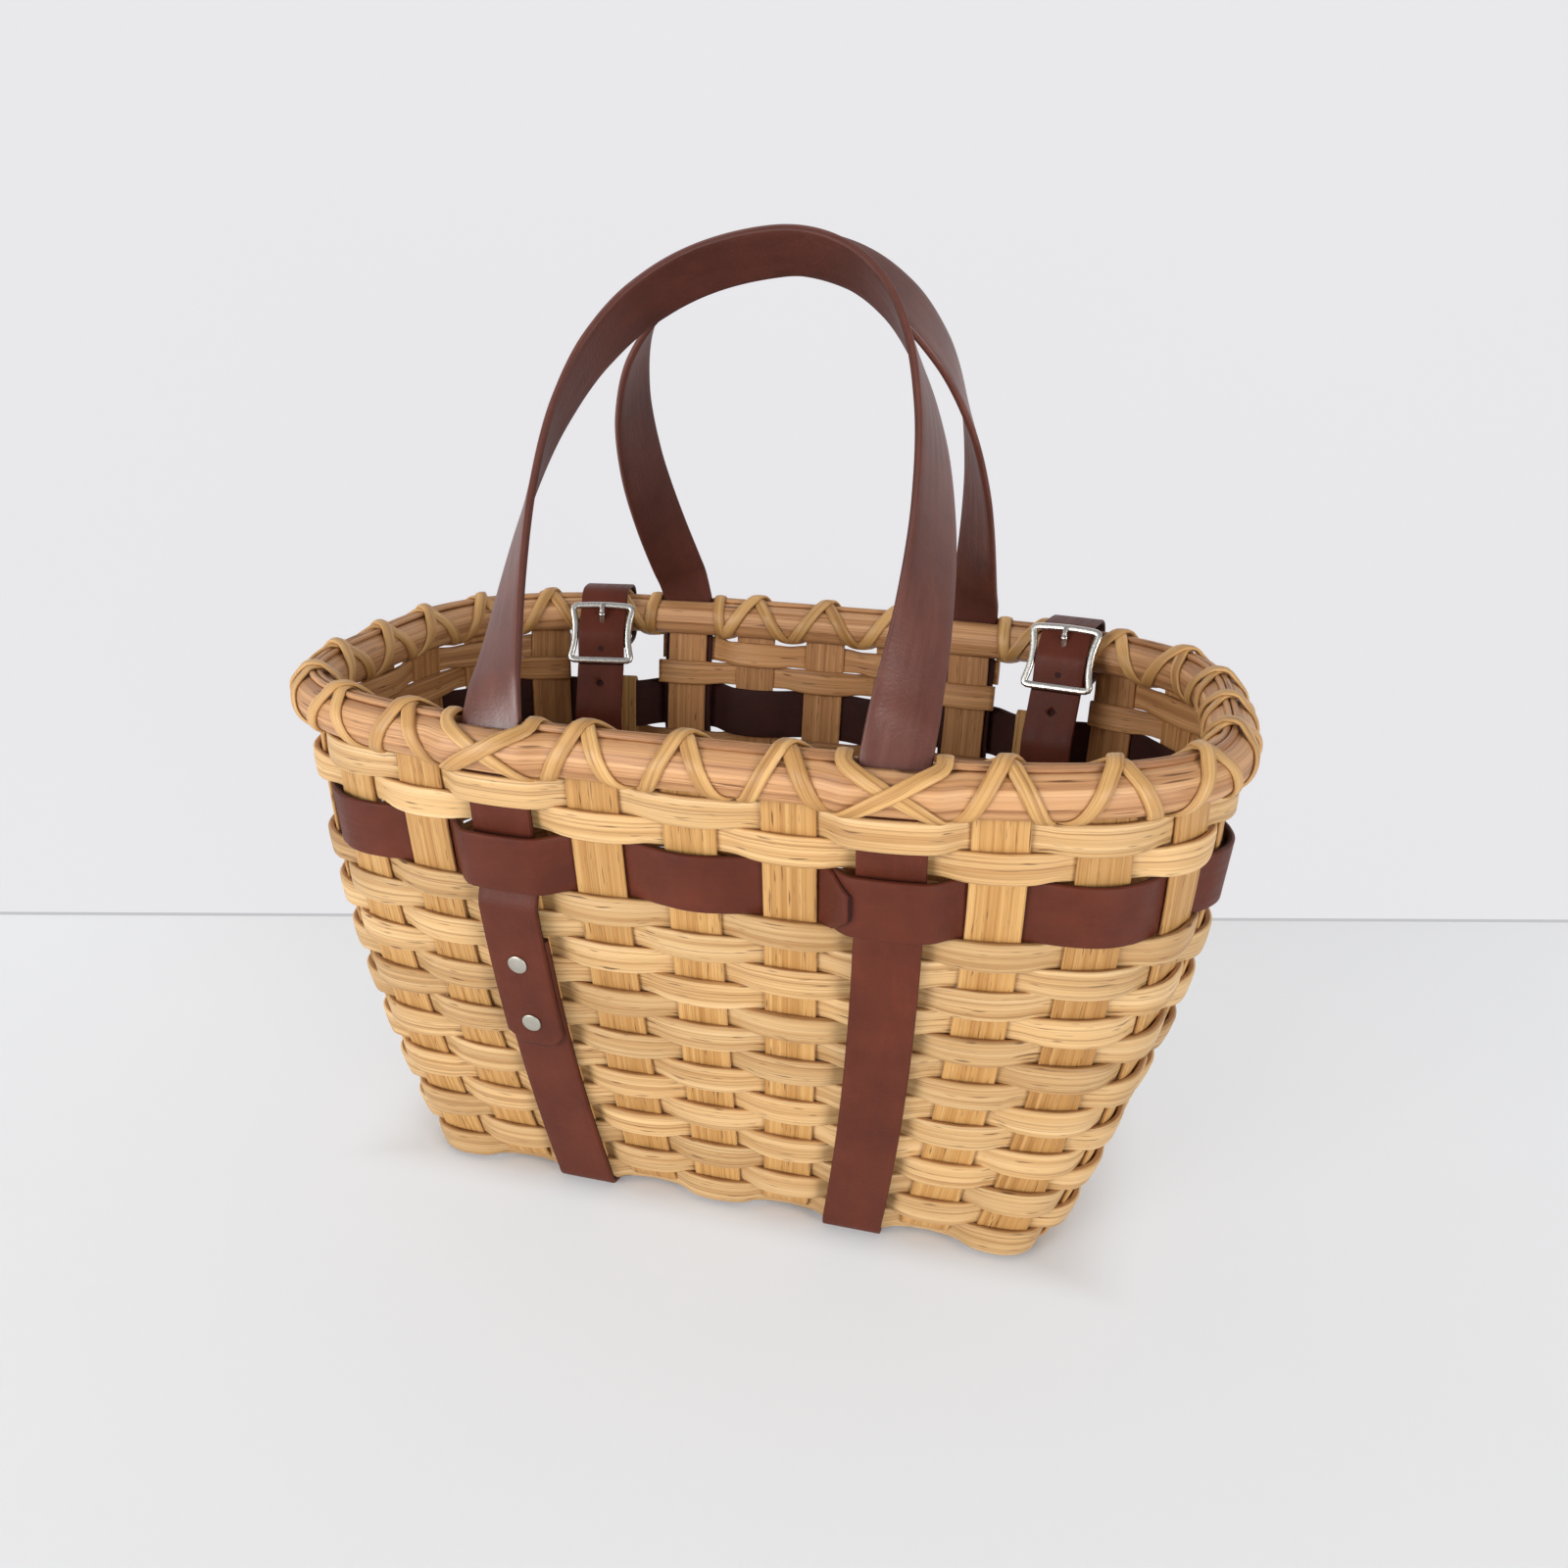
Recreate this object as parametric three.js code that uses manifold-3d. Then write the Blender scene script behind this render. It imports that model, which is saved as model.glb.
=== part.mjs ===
// A hand-woven bicycle basket. Flat reed stakes cross under the base and stand up as the walls.
// Reed weavers and one leather band go in and out between them, and a lashed rim closes the top.
// Two leather carry straps run under the base and rise from the rim as handles that lean together.
// Two buckled straps pass through windows in the back wall and hold the rim to a handlebar.
// Millimetres, +Z up. The front faces -Y, and the origin is under the middle of the base.

import * as THREE from 'three';
import { mergeVertices } from 'three/addons/utils/BufferGeometryUtils.js';
import Module from 'manifold-3d';

const wasm = await Module();
wasm.setup();

// Fit
const clearance = 0.3;
const edgeRoom = 0.6;

// Stakes: flat reed, flat on the base and upright in the walls
const crossCount = 9;
const longCount = 5;
const stakeWidth = 20.5;
const stakeThickness = 1.6;
const crossPitch = 30.2;
const longPitch = 27.5;
const cornerMargin = 4.2;

// Weavers: flat oval reed, one ring for each row
const reedWidth = 10;
const reedThickness = 2.2;
const rowGap = 0.75;
const rowCount = 14;
const topRowCount = 2;
const stubLength = 4;
const cornerTaper = 0.94;

// Leather band, woven in between the reed rows, its ends lapped at the front
const bandWidth = 25;
const bandThickness = 2.4;
const bandEndClip = 7;
const bandEndReach = 17;
const tuckLength = 34;

// Walls
const wallBulge = 1;
const wallSteps = 6;

// Rim: an outer and an inner half-round reed with a filler between them on top
const rimHalfLength = 193.5;
const rimHalfWidth = 111.5;
const rimSquareness = 3.3;
const rimHeight = 17.4;
const rimDepth = 8.4;
const rimLift = 4.4;
const fillerDepth = 4;
const fillerCrown = 2.4;
const fillerWidth = 4.8;

// Lashing: two strands of split reed wound round the rim in opposite directions
const lashWidth = 5;
const lashThickness = 1.2;
const lashClearance = 0.8;
const lashStep = 0.5;
const lashShift = 2.9;
const lashStrapShift = 17;

// Carry straps and handles: one leather strip, drawn as straps and as two handle arches
const strapWidth = 25.4;
const strapThickness = 3;
const baseRoom = 0.5;
const strapStake = 2;
const hingeRise = 3;
const handleRise = 162;
const handleLean = new THREE.Vector3(0, 37.2, 45);
const handleShoulder = new THREE.Vector3(-27.6, 126.3, 166);
const handleCrown = 10.3;
const handleTilt = THREE.MathUtils.degToRad(38.7);
const handleTurn = 0.77;
const handleTurnPace = 0.604;
const handleSteps = 14;
const lapEndHeight = 84.8;
const lapClip = 6;
const underEndHeight = 140;

// Rivets through the lap of the left strap
const rivetHeights = [125.8, 96.8];
const rivetHeadRadius = 4.5;
const rivetHeadHeight = 1.6;
const rivetPostRadius = 1.8;
const rivetCapRadius = 4.1;
const rivetCapHeight = 1;
const roundSides = 12;

// Rim straps with centre-bar buckles
const rimStrapWidth = 24;
const rimStrapThickness = 2;
const rimStrapRoom = 0.6;
const leftStrapShift = -6;
const leftBuckleDrop = 7;
const rightStrapShift = 14;
const rightBuckleDrop = 1;
const buckleTilt = THREE.MathUtils.degToRad(25);
const buckleStand = 5.6;
const buckleHalfLength = 15.5;
const buckleBar = 2.9;
const buckleThickness = 2.4;
const buckleWaist = 0.8;
const buckleDepth = 4;
const centreBarRadius = 1.2;
const foldLength = 6;
const tongueWidth = 2.4;
const tongueThickness = 1.8;
const tongueEyeWidth = 3.4;
const tailLength = 70;
const tailClip = 6;
const holeRadius = 2;
const holePitch = 17;

// Heights that follow from the sizes above
const stakeCount = 2 * (crossCount + longCount);
const halfTurn = stakeCount / 2;
const halfCross = (crossCount - 1) / 2;
const halfLong = (longCount - 1) / 2;
const baseRise = (stakeThickness + clearance) / 2;
const baseMid = strapThickness + baseRoom + stakeThickness / 2 + baseRise;
const rowPitch = reedWidth + rowGap;
const firstRow = baseMid + baseRise + stakeThickness / 2 + edgeRoom + reedWidth / 2;
const bandCourse = rowCount;
const bandBottom = firstRow + (rowCount - 1) * rowPitch + reedWidth / 2 + rowGap;
const bandMid = bandBottom + bandWidth / 2;
const bandTop = bandBottom + bandWidth;
const firstTopRow = bandTop + rowGap + reedWidth / 2;
const rimBottom = firstTopRow + (topRowCount - 1) * rowPitch + reedWidth / 2 + rimLift;
const rimMid = rimBottom + rimHeight / 2;
const rimTop = rimBottom + rimHeight;
const wallHeight = rimMid - baseMid;
const hingeHeight = rimTop + hingeRise;
const strapStakes = [strapStake, halfTurn - strapStake, halfTurn + strapStake, stakeCount - strapStake];
const windowStakes = [halfTurn - strapStake - 1, halfTurn + strapStake + 1];
const footHalfLength = halfCross * crossPitch + stakeWidth / 2 + cornerMargin;
const footHalfWidth = halfLong * longPitch + stakeWidth / 2 + cornerMargin;

const stakeReach = stakeWidth / 2 + edgeRoom;
const strapReach = strapWidth / 2 + 2 * edgeRoom;
const isStrapStake = (k) => strapStakes.includes(wrap(k));
const wrap = (k) => ((k % stakeCount) + stakeCount) % stakeCount;
const up = new THREE.Vector3(0, 0, 1);

// Point p moved by the given pairs of direction and distance.
function moved(p, ...steps) {
  const q = p.clone();
  for (const [direction, distance] of steps) q.addScaledVector(direction, distance);
  return q;
}

// Sweeps a section through stations. A section point (a, b) lies at p + a * station.a + b * station.b.
function loft(stations, section, closed = false) {
  const positions = [];
  for (const { p, a, b } of stations) {
    for (const [x, y] of section) positions.push(...moved(p, [a, x], [b, y]).toArray());
  }
  const sides = section.length;
  const rings = stations.length;
  const index = [];
  for (let i = 0; i < (closed ? rings : rings - 1); i++) {
    const here = i * sides;
    const next = ((i + 1) % rings) * sides;
    for (let j = 0; j < sides; j++) {
      const k = (j + 1) % sides;
      index.push(here + j, here + k, next + k, here + j, next + k, next + j);
    }
  }
  if (!closed) {
    const outline = section.map(([x, y]) => new THREE.Vector2(x, y));
    const clockwise = THREE.ShapeUtils.isClockWise(outline);
    const last = (rings - 1) * sides;
    for (const face of THREE.ShapeUtils.triangulateShape(outline, [])) {
      const [p, q, r] = clockwise ? [face[0], face[2], face[1]] : face;
      const [s, t] = clockwise ? [q, r] : [r, q];
      index.push(p, s, t, last + p, last + t, last + s);
    }
  }
  const geometry = new THREE.BufferGeometry();
  geometry.setAttribute('position', new THREE.Float32BufferAttribute(positions, 3));
  geometry.setIndex(facingOut(positions, index));
  return geometry;
}

// The same triangles, turned over if the body they enclose comes out negative.
function facingOut(positions, index) {
  const [p, q, r] = [new THREE.Vector3(), new THREE.Vector3(), new THREE.Vector3()];
  let volume = 0;
  for (let i = 0; i < index.length; i += 3) {
    p.fromArray(positions, 3 * index[i]);
    q.fromArray(positions, 3 * index[i + 1]);
    r.fromArray(positions, 3 * index[i + 2]);
    volume += p.dot(q.cross(r));
  }
  return volume > 0 ? index : index.toReversed();
}

// Stations of a flat strip along points. flats[i] lies across the strip, in its face. At a bend the
// thickness direction is lengthened, so that the strip keeps its thickness on both sides.
function stripStations(points, flats, closed = false) {
  const count = points.length;
  return points.map((p, i) => {
    const before = points[closed ? (i + count - 1) % count : Math.max(i - 1, 0)];
    const after = points[closed ? (i + 1) % count : Math.min(i + 1, count - 1)];
    const arriving = p.clone().sub(before).normalize();
    const leaving = after.clone().sub(p).normalize();
    const bend = before === p || after === p ? 1 : arriving.dot(leaving);
    const face = arriving.add(leaving).cross(flats[i]).normalize();
    return { p, a: flats[i], b: face.multiplyScalar(1 / Math.sqrt((1 + bend) / 2)) };
  });
}

const rectangle = (width, thickness) => [
  [-width / 2, -thickness / 2], [width / 2, -thickness / 2],
  [width / 2, thickness / 2], [-width / 2, thickness / 2],
];

// A closed geometry as a solid that can be joined and cut, and back again.
function solid(geometry) {
  const bare = geometry.clone();
  bare.deleteAttribute('normal');
  bare.deleteAttribute('uv');
  const merged = mergeVertices(bare);
  return new wasm.Manifold(new wasm.Mesh({
    numProp: 3,
    vertProperties: merged.attributes.position.array,
    triVerts: Uint32Array.from(merged.index.array),
  }));
}

function geometryOf(body) {
  const { vertProperties, triVerts } = body.getMesh();
  const geometry = new THREE.BufferGeometry();
  geometry.setAttribute('position', new THREE.BufferAttribute(vertProperties, 3));
  geometry.setIndex(new THREE.BufferAttribute(triVerts, 1));
  return geometry;
}

const reedFinish = new THREE.MeshStandardMaterial({ color: 0xd9ad70, roughness: 0.6, metalness: 0 });
const stakeFinish = new THREE.MeshStandardMaterial({ color: 0xcd9f5e, roughness: 0.65, metalness: 0 });
const rimFinish = new THREE.MeshStandardMaterial({ color: 0xc39059, roughness: 0.55, metalness: 0 });
const leatherFinish = new THREE.MeshStandardMaterial({ color: 0x6b3a2f, roughness: 0.5, metalness: 0 });
const nickelFinish = new THREE.MeshStandardMaterial({ color: 0xbebcb4, roughness: 0.3, metalness: 1 });

const basket = new THREE.Group();

function add(name, geometry, finish) {
  geometry.computeVertexNormals();
  const mesh = new THREE.Mesh(geometry, finish.clone());
  mesh.name = name;
  basket.add(mesh);
}

// Rim line: a superellipse, measured along its length from the middle of the front.
const rimLine = [];
{
  const samples = 1440;
  const power = 2 / rimSquareness;
  let length = 0;
  for (let i = 0; i <= samples; i++) {
    const angle = -Math.PI / 2 + (2 * Math.PI * i) / samples;
    const [c, s] = [Math.cos(angle), Math.sin(angle)];
    const x = rimHalfLength * Math.sign(c) * Math.abs(c) ** power;
    const y = rimHalfWidth * Math.sign(s) * Math.abs(s) ** power;
    const p = new THREE.Vector3(x, y, rimMid);
    if (i > 0) length += p.distanceTo(rimLine[i - 1].p);
    rimLine.push({ p, length });
  }
}
const rimLength = rimLine.at(-1).length;
const rimPitch = rimLength / stakeCount;

function rimLinePoint(length) {
  const wanted = ((length % rimLength) + rimLength) % rimLength;
  const i = Math.max(1, rimLine.findIndex((sample) => sample.length >= wanted));
  const [from, to] = [rimLine[i - 1], rimLine[i]];
  return from.p.clone().lerp(to.p, (wanted - from.length) / (to.length - from.length));
}

// Where a stake leaves the base, and which way its face runs there. Stakes count from the middle
// of the front towards +X, so the middle of the back is half a turn away.
function footOf(k) {
  const right = halfCross + (longCount + 1) / 2;
  if (k <= halfCross || k >= stakeCount - halfCross) {
    const x = (k <= halfCross ? k : k - stakeCount) * crossPitch;
    return { p: new THREE.Vector3(x, -footHalfWidth, baseMid), s: new THREE.Vector3(1, 0, 0) };
  }
  if (k <= halfCross + longCount) {
    const y = (k - right) * longPitch;
    return { p: new THREE.Vector3(footHalfLength, y, baseMid), s: new THREE.Vector3(0, 1, 0) };
  }
  if (k <= halfCross + longCount + crossCount) {
    const x = (halfTurn - k) * crossPitch;
    return { p: new THREE.Vector3(x, footHalfWidth, baseMid), s: new THREE.Vector3(-1, 0, 0) };
  }
  const y = (right + halfTurn - k) * longPitch;
  return { p: new THREE.Vector3(-footHalfLength, y, baseMid), s: new THREE.Vector3(0, -1, 0) };
}

// The wall bends at a few levels. Below the band each lies in a gap between rows, so that rows lie flat.
const firstGap = firstRow - rowPitch / 2;
const wallLevels = Array.from({ length: wallSteps + 1 }, (_, i) => {
  const z = baseMid + (wallHeight * i) / wallSteps;
  return i === 0 || z > bandBottom ? z : firstGap + Math.round((z - firstGap) / rowPitch) * rowPitch;
});
const longestStep = Math.max(...wallLevels.slice(1).map((z, i) => z - wallLevels[i]));

// Each stake's line up the wall, as straight lengths between those levels. It flares faster low down.
const stakes = Array.from({ length: stakeCount }, (_, k) => {
  const foot = footOf(k);
  const head = rimLinePoint(k * rimPitch);
  const tangent = rimLinePoint(k * rimPitch + 1).sub(rimLinePoint(k * rimPitch - 1)).normalize();
  const levels = wallLevels.map((z) => {
    const t = (z - baseMid) / wallHeight;
    const p = foot.p.clone().lerp(head, t + wallBulge * t * (1 - t));
    p.z = z;
    return { p, s: foot.s.clone().lerp(tangent, t).normalize() };
  });
  const twist = foot.s.angleTo(tangent);
  const warp = (stakeWidth / 2) * twist * ((longestStep + reedWidth) / 2 / wallHeight);
  return { levels, warp };
});

// Frame on the middle of the wall at stake k: p, s along the wall, u up the wall and o outwards.
function wallFrame(k, z) {
  const { levels } = stakes[wrap(k)];
  const i = THREE.MathUtils.clamp(wallLevels.findLastIndex((level) => level <= z), 0, wallSteps - 1);
  const [from, to] = [levels[i], levels[i + 1]];
  const share = (z - from.p.z) / (to.p.z - from.p.z);
  const p = from.p.clone().lerp(to.p, share);
  const u = to.p.clone().sub(from.p).normalize();
  const s = from.s.clone().lerp(to.s, share);
  s.addScaledVector(u, -s.dot(u)).normalize();
  return { p, s, u, o: s.clone().cross(u) };
}

// Distance from the middle of a stake to the middle of a strip that lies against it.
const restingOn = (k, thickness) => stakeThickness / 2 + clearance + stakes[wrap(k)].warp + thickness / 2;
const overStrap = strapThickness + clearance;

// In plain weave a row passes outside every other stake, and the next row the others.
const passesOutside = (k, course) => (k + course) % 2 === 0;

// A place that far out from the wall at the same height.
const levelSeat = ({ p, o, u }, out) => moved(p, [o, out], [u, (-out * o.z) / u.z]);

// Path of one woven row past the given stakes, flat against each of them.
function wovenPath(k0, k1, course, z, thickness, { corners = false, stub = 0, overStraps = false } = {}) {
  const points = [];
  const flats = [];
  for (let k = k0; k <= k1; k++) {
    const frame = wallFrame(k, z);
    const outside = passesOutside(k, course);
    const strapped = overStraps && outside && isStrapStake(k);
    const rest = restingOn(k, thickness) + (strapped ? overStrap : 0);
    const reach = strapped ? strapReach : stakeReach;
    const seat = levelSeat(frame, outside ? rest : -rest);
    points.push(moved(seat, [frame.s, -reach - (k === k0 ? stub : 0)]));
    points.push(moved(seat, [frame.s, reach + (k === k1 ? stub : 0)]));
    flats.push(frame.u, frame.u);
    const next = wallFrame(k + 1, z);
    const turnsCorner = footOf(wrap(k)).s.dot(footOf(wrap(k + 1)).s) < 0.5;
    if (corners && turnsCorner) {
      const from = moved(frame.p, [frame.s, stakeWidth / 2 + cornerMargin / 2]);
      const to = moved(next.p, [next.s, -stakeWidth / 2 - cornerMargin / 2]);
      points.push(from.lerp(to, 0.5));
      flats.push(frame.u.clone().lerp(next.u, 0.5).multiplyScalar(cornerTaper));
    }
  }
  return { points, flats };
}

// Stakes that run front to back, and stakes that run end to end, plain-woven where they cross.
const stakeTop = rimTop - fillerDepth - clearance;

function upWall(k, sense, top) {
  const heights = wallLevels.filter((z, i) => i < wallSteps && z < top - edgeRoom);
  return [...heights, top].map((z) => {
    const { p, s } = wallFrame(k, z);
    return { p, flat: s.multiplyScalar(sense) };
  });
}

// A stake beside a window is folded over the band's top edge and tucked down inside it.
function foldedWall(k, sense) {
  const { warp } = stakes[wrap(k)];
  const depth = bandThickness + stakeThickness + 2 * clearance + warp;
  const foldHeight = bandTop + clearance + stakeThickness / 2;
  const wall = upWall(k, sense, foldHeight);
  for (const z of [foldHeight, foldHeight - tuckLength]) {
    const { p, s, o } = wallFrame(k, z);
    wall.push({ p: moved(p, [o, -depth]), flat: s.multiplyScalar(sense) });
  }
  return wall;
}

function addStake(name, fromStake, toStake, crossings, along, across, place) {
  const wallOf = (k, sense) => (windowStakes.includes(k) ? foldedWall(k, sense) : upWall(k, sense, stakeTop));
  const flat = footOf(wrap(fromStake)).s.clone();
  const base = crossings.flatMap(({ at, over }) => [-1, 1].map((side) => ({
    p: moved(new THREE.Vector3(0, 0, baseMid + (over ? baseRise : -baseRise)),
      [along, at + side * stakeReach], [across, place]),
    flat,
  })));
  const path = [...wallOf(wrap(fromStake), 1).reverse(), ...base, ...wallOf(wrap(toStake), -1)];
  const stations = stripStations(path.map(({ p }) => p), path.map((station) => station.flat));
  add(name, loft(stations, rectangle(stakeWidth, stakeThickness)), stakeFinish);
}

const [right, back] = [new THREE.Vector3(1, 0, 0), new THREE.Vector3(0, 1, 0)];
for (let j = -halfCross; j <= halfCross; j++) {
  const crossings = Array.from({ length: longCount }, (_, i) => ({
    at: (i - halfLong) * longPitch,
    over: (i - halfLong + j) % 2 === 0,
  }));
  addStake(`cross_stake_${j + halfCross + 1}`, j, halfTurn - j, crossings, back, right, j * crossPitch);
}
for (let m = -halfLong; m <= halfLong; m++) {
  const crossings = Array.from({ length: crossCount }, (_, i) => ({
    at: (i - halfCross) * crossPitch,
    over: (i - halfCross + m) % 2 !== 0,
  }));
  const rightStake = halfCross + 1 + halfLong + m;
  const leftStake = halfTurn + halfCross + 1 + halfLong - m;
  addStake(`long_stake_${m + halfLong + 1}`, leftStake, rightStake, crossings, right, back, m * longPitch);
}

// Reed rows from the base up to the leather band, each a closed ring.
for (let course = 0; course < rowCount; course++) {
  const z = firstRow + course * rowPitch;
  const corners = course < rowCount / 2;
  const { points, flats } = wovenPath(0, stakeCount - 1, course, z, reedThickness, { corners });
  const ring = loft(stripStations(points, flats, true), rectangle(reedWidth, reedThickness), true);
  add(`weaver_${course + 1}`, ring, reedFinish);
}

// Leather band: one strip that starts inside the stake beyond the right strap, goes once round and
// laps over itself on that strap, where its clipped end shows.
{
  const course = bandCourse;
  const lapStake = strapStake;
  const { points, flats } = wovenPath(lapStake, lapStake + stakeCount + 1, course, bandMid, bandThickness,
    { overStraps: true });
  const layer = bandThickness + clearance;
  const lapped = 4;
  const outwards = (i) => flats[i].clone().cross(points[i].clone().sub(points[i + 1])).normalize();
  for (let i = 0; i < lapped; i += 2) {
    const lift = i < 2 ? layer : 0;
    const direction = outwards(i);
    points[i].addScaledVector(direction, lift);
    points[i + 1].addScaledVector(direction, lift);
  }
  const last = points.length - 2;
  const inwards = outwards(last);
  points[last].addScaledVector(inwards, -layer);
  points[last + 1].addScaledVector(inwards, -layer);
  const tip = points[0].clone().sub(points[1]).normalize();
  const end = moved(points[0], [tip, bandEndReach - strapReach + strapWidth / 2]);
  points.unshift(end, moved(end, [tip, -bandEndClip]));
  flats.unshift(flats[0], flats[0]);
  const stations = stripStations(points, flats);
  stations[0].a = stations[0].a.clone().multiplyScalar(1 - (2 * bandEndClip) / bandWidth);
  add('leather_band', loft(stations, rectangle(bandWidth, bandThickness)), leatherFinish);
}

// Reed rows above the band stop at the windows: a long run round the front and a short one at the back.
for (let row = 0; row < topRowCount; row++) {
  const z = firstTopRow + row * rowPitch;
  const course = bandCourse + 1 + row;
  const [rightWindow, leftWindow] = windowStakes;
  const front = wovenPath(leftWindow + 1 - stakeCount, rightWindow - 1, course, z, reedThickness,
    { overStraps: true });
  const rear = wovenPath(rightWindow + 1, leftWindow - 1, course, z, reedThickness,
    { overStraps: true, stub: stubLength });
  for (const [place, { points, flats }] of [['front', front], ['rear', rear]]) {
    const run = loft(stripStations(points, flats), rectangle(reedWidth, reedThickness));
    add(`top_weaver_${place}_${row + 1}`, run, reedFinish);
  }
}

// Rim. The outer half stands out over the carry straps.
const rimFrames = stakes.map((_, k) => wallFrame(k, rimMid));
const rimReach = (k) => (isStrapStake(k) ? strapReach + 0.75 * lashWidth : stakeReach);
const rimSeat = (k, side) => restingOn(k, 0) + (side > 0 && isStrapStake(k) ? overStrap : 0);

const rimSection = [
  [-rimHeight / 2, 0], [-0.38 * rimHeight, 0.74 * rimDepth], [0, rimDepth],
  [0.38 * rimHeight, 0.74 * rimDepth], [rimHeight / 2, 0],
];

for (const [name, side] of [['outer_rim', 1], ['inner_rim', -1]]) {
  const points = [];
  const flats = [];
  rimFrames.forEach(({ p, s, u, o }, k) => {
    const seat = side * rimSeat(k, side);
    points.push(moved(p, [o, seat], [s, -rimReach(k)]), moved(p, [o, seat], [s, rimReach(k)]));
    flats.push(u, u);
  });
  const section = rimSection.map(([a, b]) => [a, side * b]);
  add(name, loft(stripStations(points, flats, true), section, true), rimFinish);
}

// Filler: lies on the stake tops between the two rims, in four lengths between the carry straps.
const fillerNeck = rimHeight / 2 + clearance;
const fillerTop = rimHeight / 2 + fillerCrown;
const fillerSection = [
  [rimHeight / 2 - fillerDepth, -stakeThickness / 2], [fillerNeck, -stakeThickness / 2],
  [fillerNeck + 0.2 * fillerCrown, -fillerWidth / 2], [fillerTop, -fillerWidth / 8],
  [fillerTop, fillerWidth / 8], [fillerNeck + 0.2 * fillerCrown, fillerWidth / 2],
  [fillerNeck, stakeThickness / 2], [rimHeight / 2 - fillerDepth, stakeThickness / 2],
];
for (const [i, name] of ['right', 'rear', 'left', 'front'].entries()) {
  const from = strapStakes[i];
  const to = i < 3 ? strapStakes[i + 1] : strapStakes[0] + stakeCount;
  const points = [moved(rimFrames[from].p, [rimFrames[from].s, rimReach(from)])];
  const flats = [rimFrames[from].u];
  for (let k = from + 1; k < to; k++) {
    const { p, s, u } = rimFrames[wrap(k)];
    points.push(moved(p, [s, -stakeReach]), moved(p, [s, stakeReach]));
    flats.push(u, u);
  }
  const end = rimFrames[wrap(to)];
  points.push(moved(end.p, [end.s, -rimReach(to)]));
  flats.push(end.u);
  add(`rim_filler_${name}`, loft(stripStations(points, flats), fillerSection), rimFinish);
}

// Lashing. A place on the rim is a stake number with a fraction, on the same straight lengths as the rim.
function rimAt(place) {
  const k = Math.round(place);
  const run = (place - k) * rimPitch;
  const here = rimFrames[wrap(k)];
  if (Math.abs(run) <= rimReach(k)) {
    return { ...here, p: moved(here.p, [here.s, run]), seat: (side) => rimSeat(k, side) };
  }
  const k2 = k + Math.sign(run);
  const next = rimFrames[wrap(k2)];
  const from = moved(here.p, [here.s, Math.sign(run) * rimReach(k)]);
  const to = moved(next.p, [next.s, -Math.sign(run) * rimReach(k2)]);
  const share = (Math.abs(run) - rimReach(k)) / (rimPitch - rimReach(k) - rimReach(k2));
  return {
    p: from.lerp(to, share),
    u: here.u.clone().lerp(next.u, share).normalize(),
    o: here.o.clone().lerp(next.o, share).normalize(),
    seat: (side) => THREE.MathUtils.lerp(rimSeat(k, side), rimSeat(k2, side), share),
  };
}

// One strand, from the middle of the back once round. sense +1 goes down the outside of the rim.
// Over a carry strap it crosses the whole strap on the outside, so it turns down only past its edges.
function lashing(sense, lift) {
  const away = lashClearance + lashThickness / 2 + lift;
  const diagonal = Math.SQRT1_2;
  const cornerOut = 0.74 * rimDepth + away * diagonal;
  const cornerRise = 0.38 * rimHeight + away * diagonal;
  const topOf = (k) => k - (isStrapStake(k) ? (sense * lashStrapShift) / rimPitch : 0);
  const bottomOf = (k) => k + 0.5 - (sense * lashShift) / rimPitch;
  const passes = [
    { out: 0, rise: fillerTop + away + clearance, normal: [0, 1], share: 0, strapShare: 0 },
    { out: cornerOut, rise: cornerRise, normal: [diagonal, diagonal], share: 0.3, strapShare: 0.05 },
    { out: rimDepth + away, rise: 0, normal: [1, 0], share: 0.55, strapShare: 0.5 },
    { out: cornerOut, rise: -cornerRise, normal: [diagonal, -diagonal], share: 0.8, strapShare: 0.96 },
    { out: 0, rise: -rimHeight / 2 - away - clearance, normal: [0, -1], share: 1, strapShare: 1 },
  ];
  const path = [];
  for (let k = halfTurn; k < halfTurn + stakeCount; k++) {
    for (const [topStake, side] of [[k, sense], [k + 1, -sense]]) {
      const crossesStrap = side > 0 && isStrapStake(topStake);
      const ordered = topStake === k ? passes : passes.toReversed();
      for (const pass of ordered.slice(0, -1)) {
        const share = crossesStrap ? pass.strapShare : pass.share;
        const drop = pass.out > 0 && pass.rise < 0 ? clearance + (crossesStrap ? 0.4 * overStrap : 0) : 0;
        const { p, u, o, seat } = rimAt(THREE.MathUtils.lerp(topOf(topStake), bottomOf(k), share));
        const out = pass.out > 0 ? side * (seat(side) + pass.out) : 0;
        const normal = moved(new THREE.Vector3(), [o, side * pass.normal[0]], [u, pass.normal[1]]);
        path.push({ p: moved(p, [o, out], [u, pass.rise - drop]), normal });
      }
    }
  }
  const stations = path.map(({ p, normal }, i) => {
    const before = path[Math.max(i - 1, 0)].p;
    const after = path[Math.min(i + 1, path.length - 1)].p;
    const flat = after.clone().sub(before).cross(normal).normalize();
    return { p, a: flat, b: normal };
  });
  const turn = passes.length * 2 - 2;
  let least = Infinity;
  path.forEach(({ p }, i) => {
    for (let j = i + turn / 2; j < path.length; j++) least = Math.min(least, p.distanceTo(path[j].p));
  });
  console.log(`lashing strand: least gap to itself ${(least - lashWidth).toFixed(2)} mm`);
  const [half, thick] = [lashWidth / 2, lashThickness / 2];
  // The two strands twist opposite ways. Each is swept in the order that keeps its twisted faces full.
  const ordered = sense > 0 ? stations : stations.toReversed();
  return loft(ordered, [[-half, 0], [0, -thick], [half, 0], [0, thick]]);
}

add('lashing_under', lashing(1, 0), rimFinish);
add('lashing_over', lashing(-1, lashThickness + lashStep), rimFinish);

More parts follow.
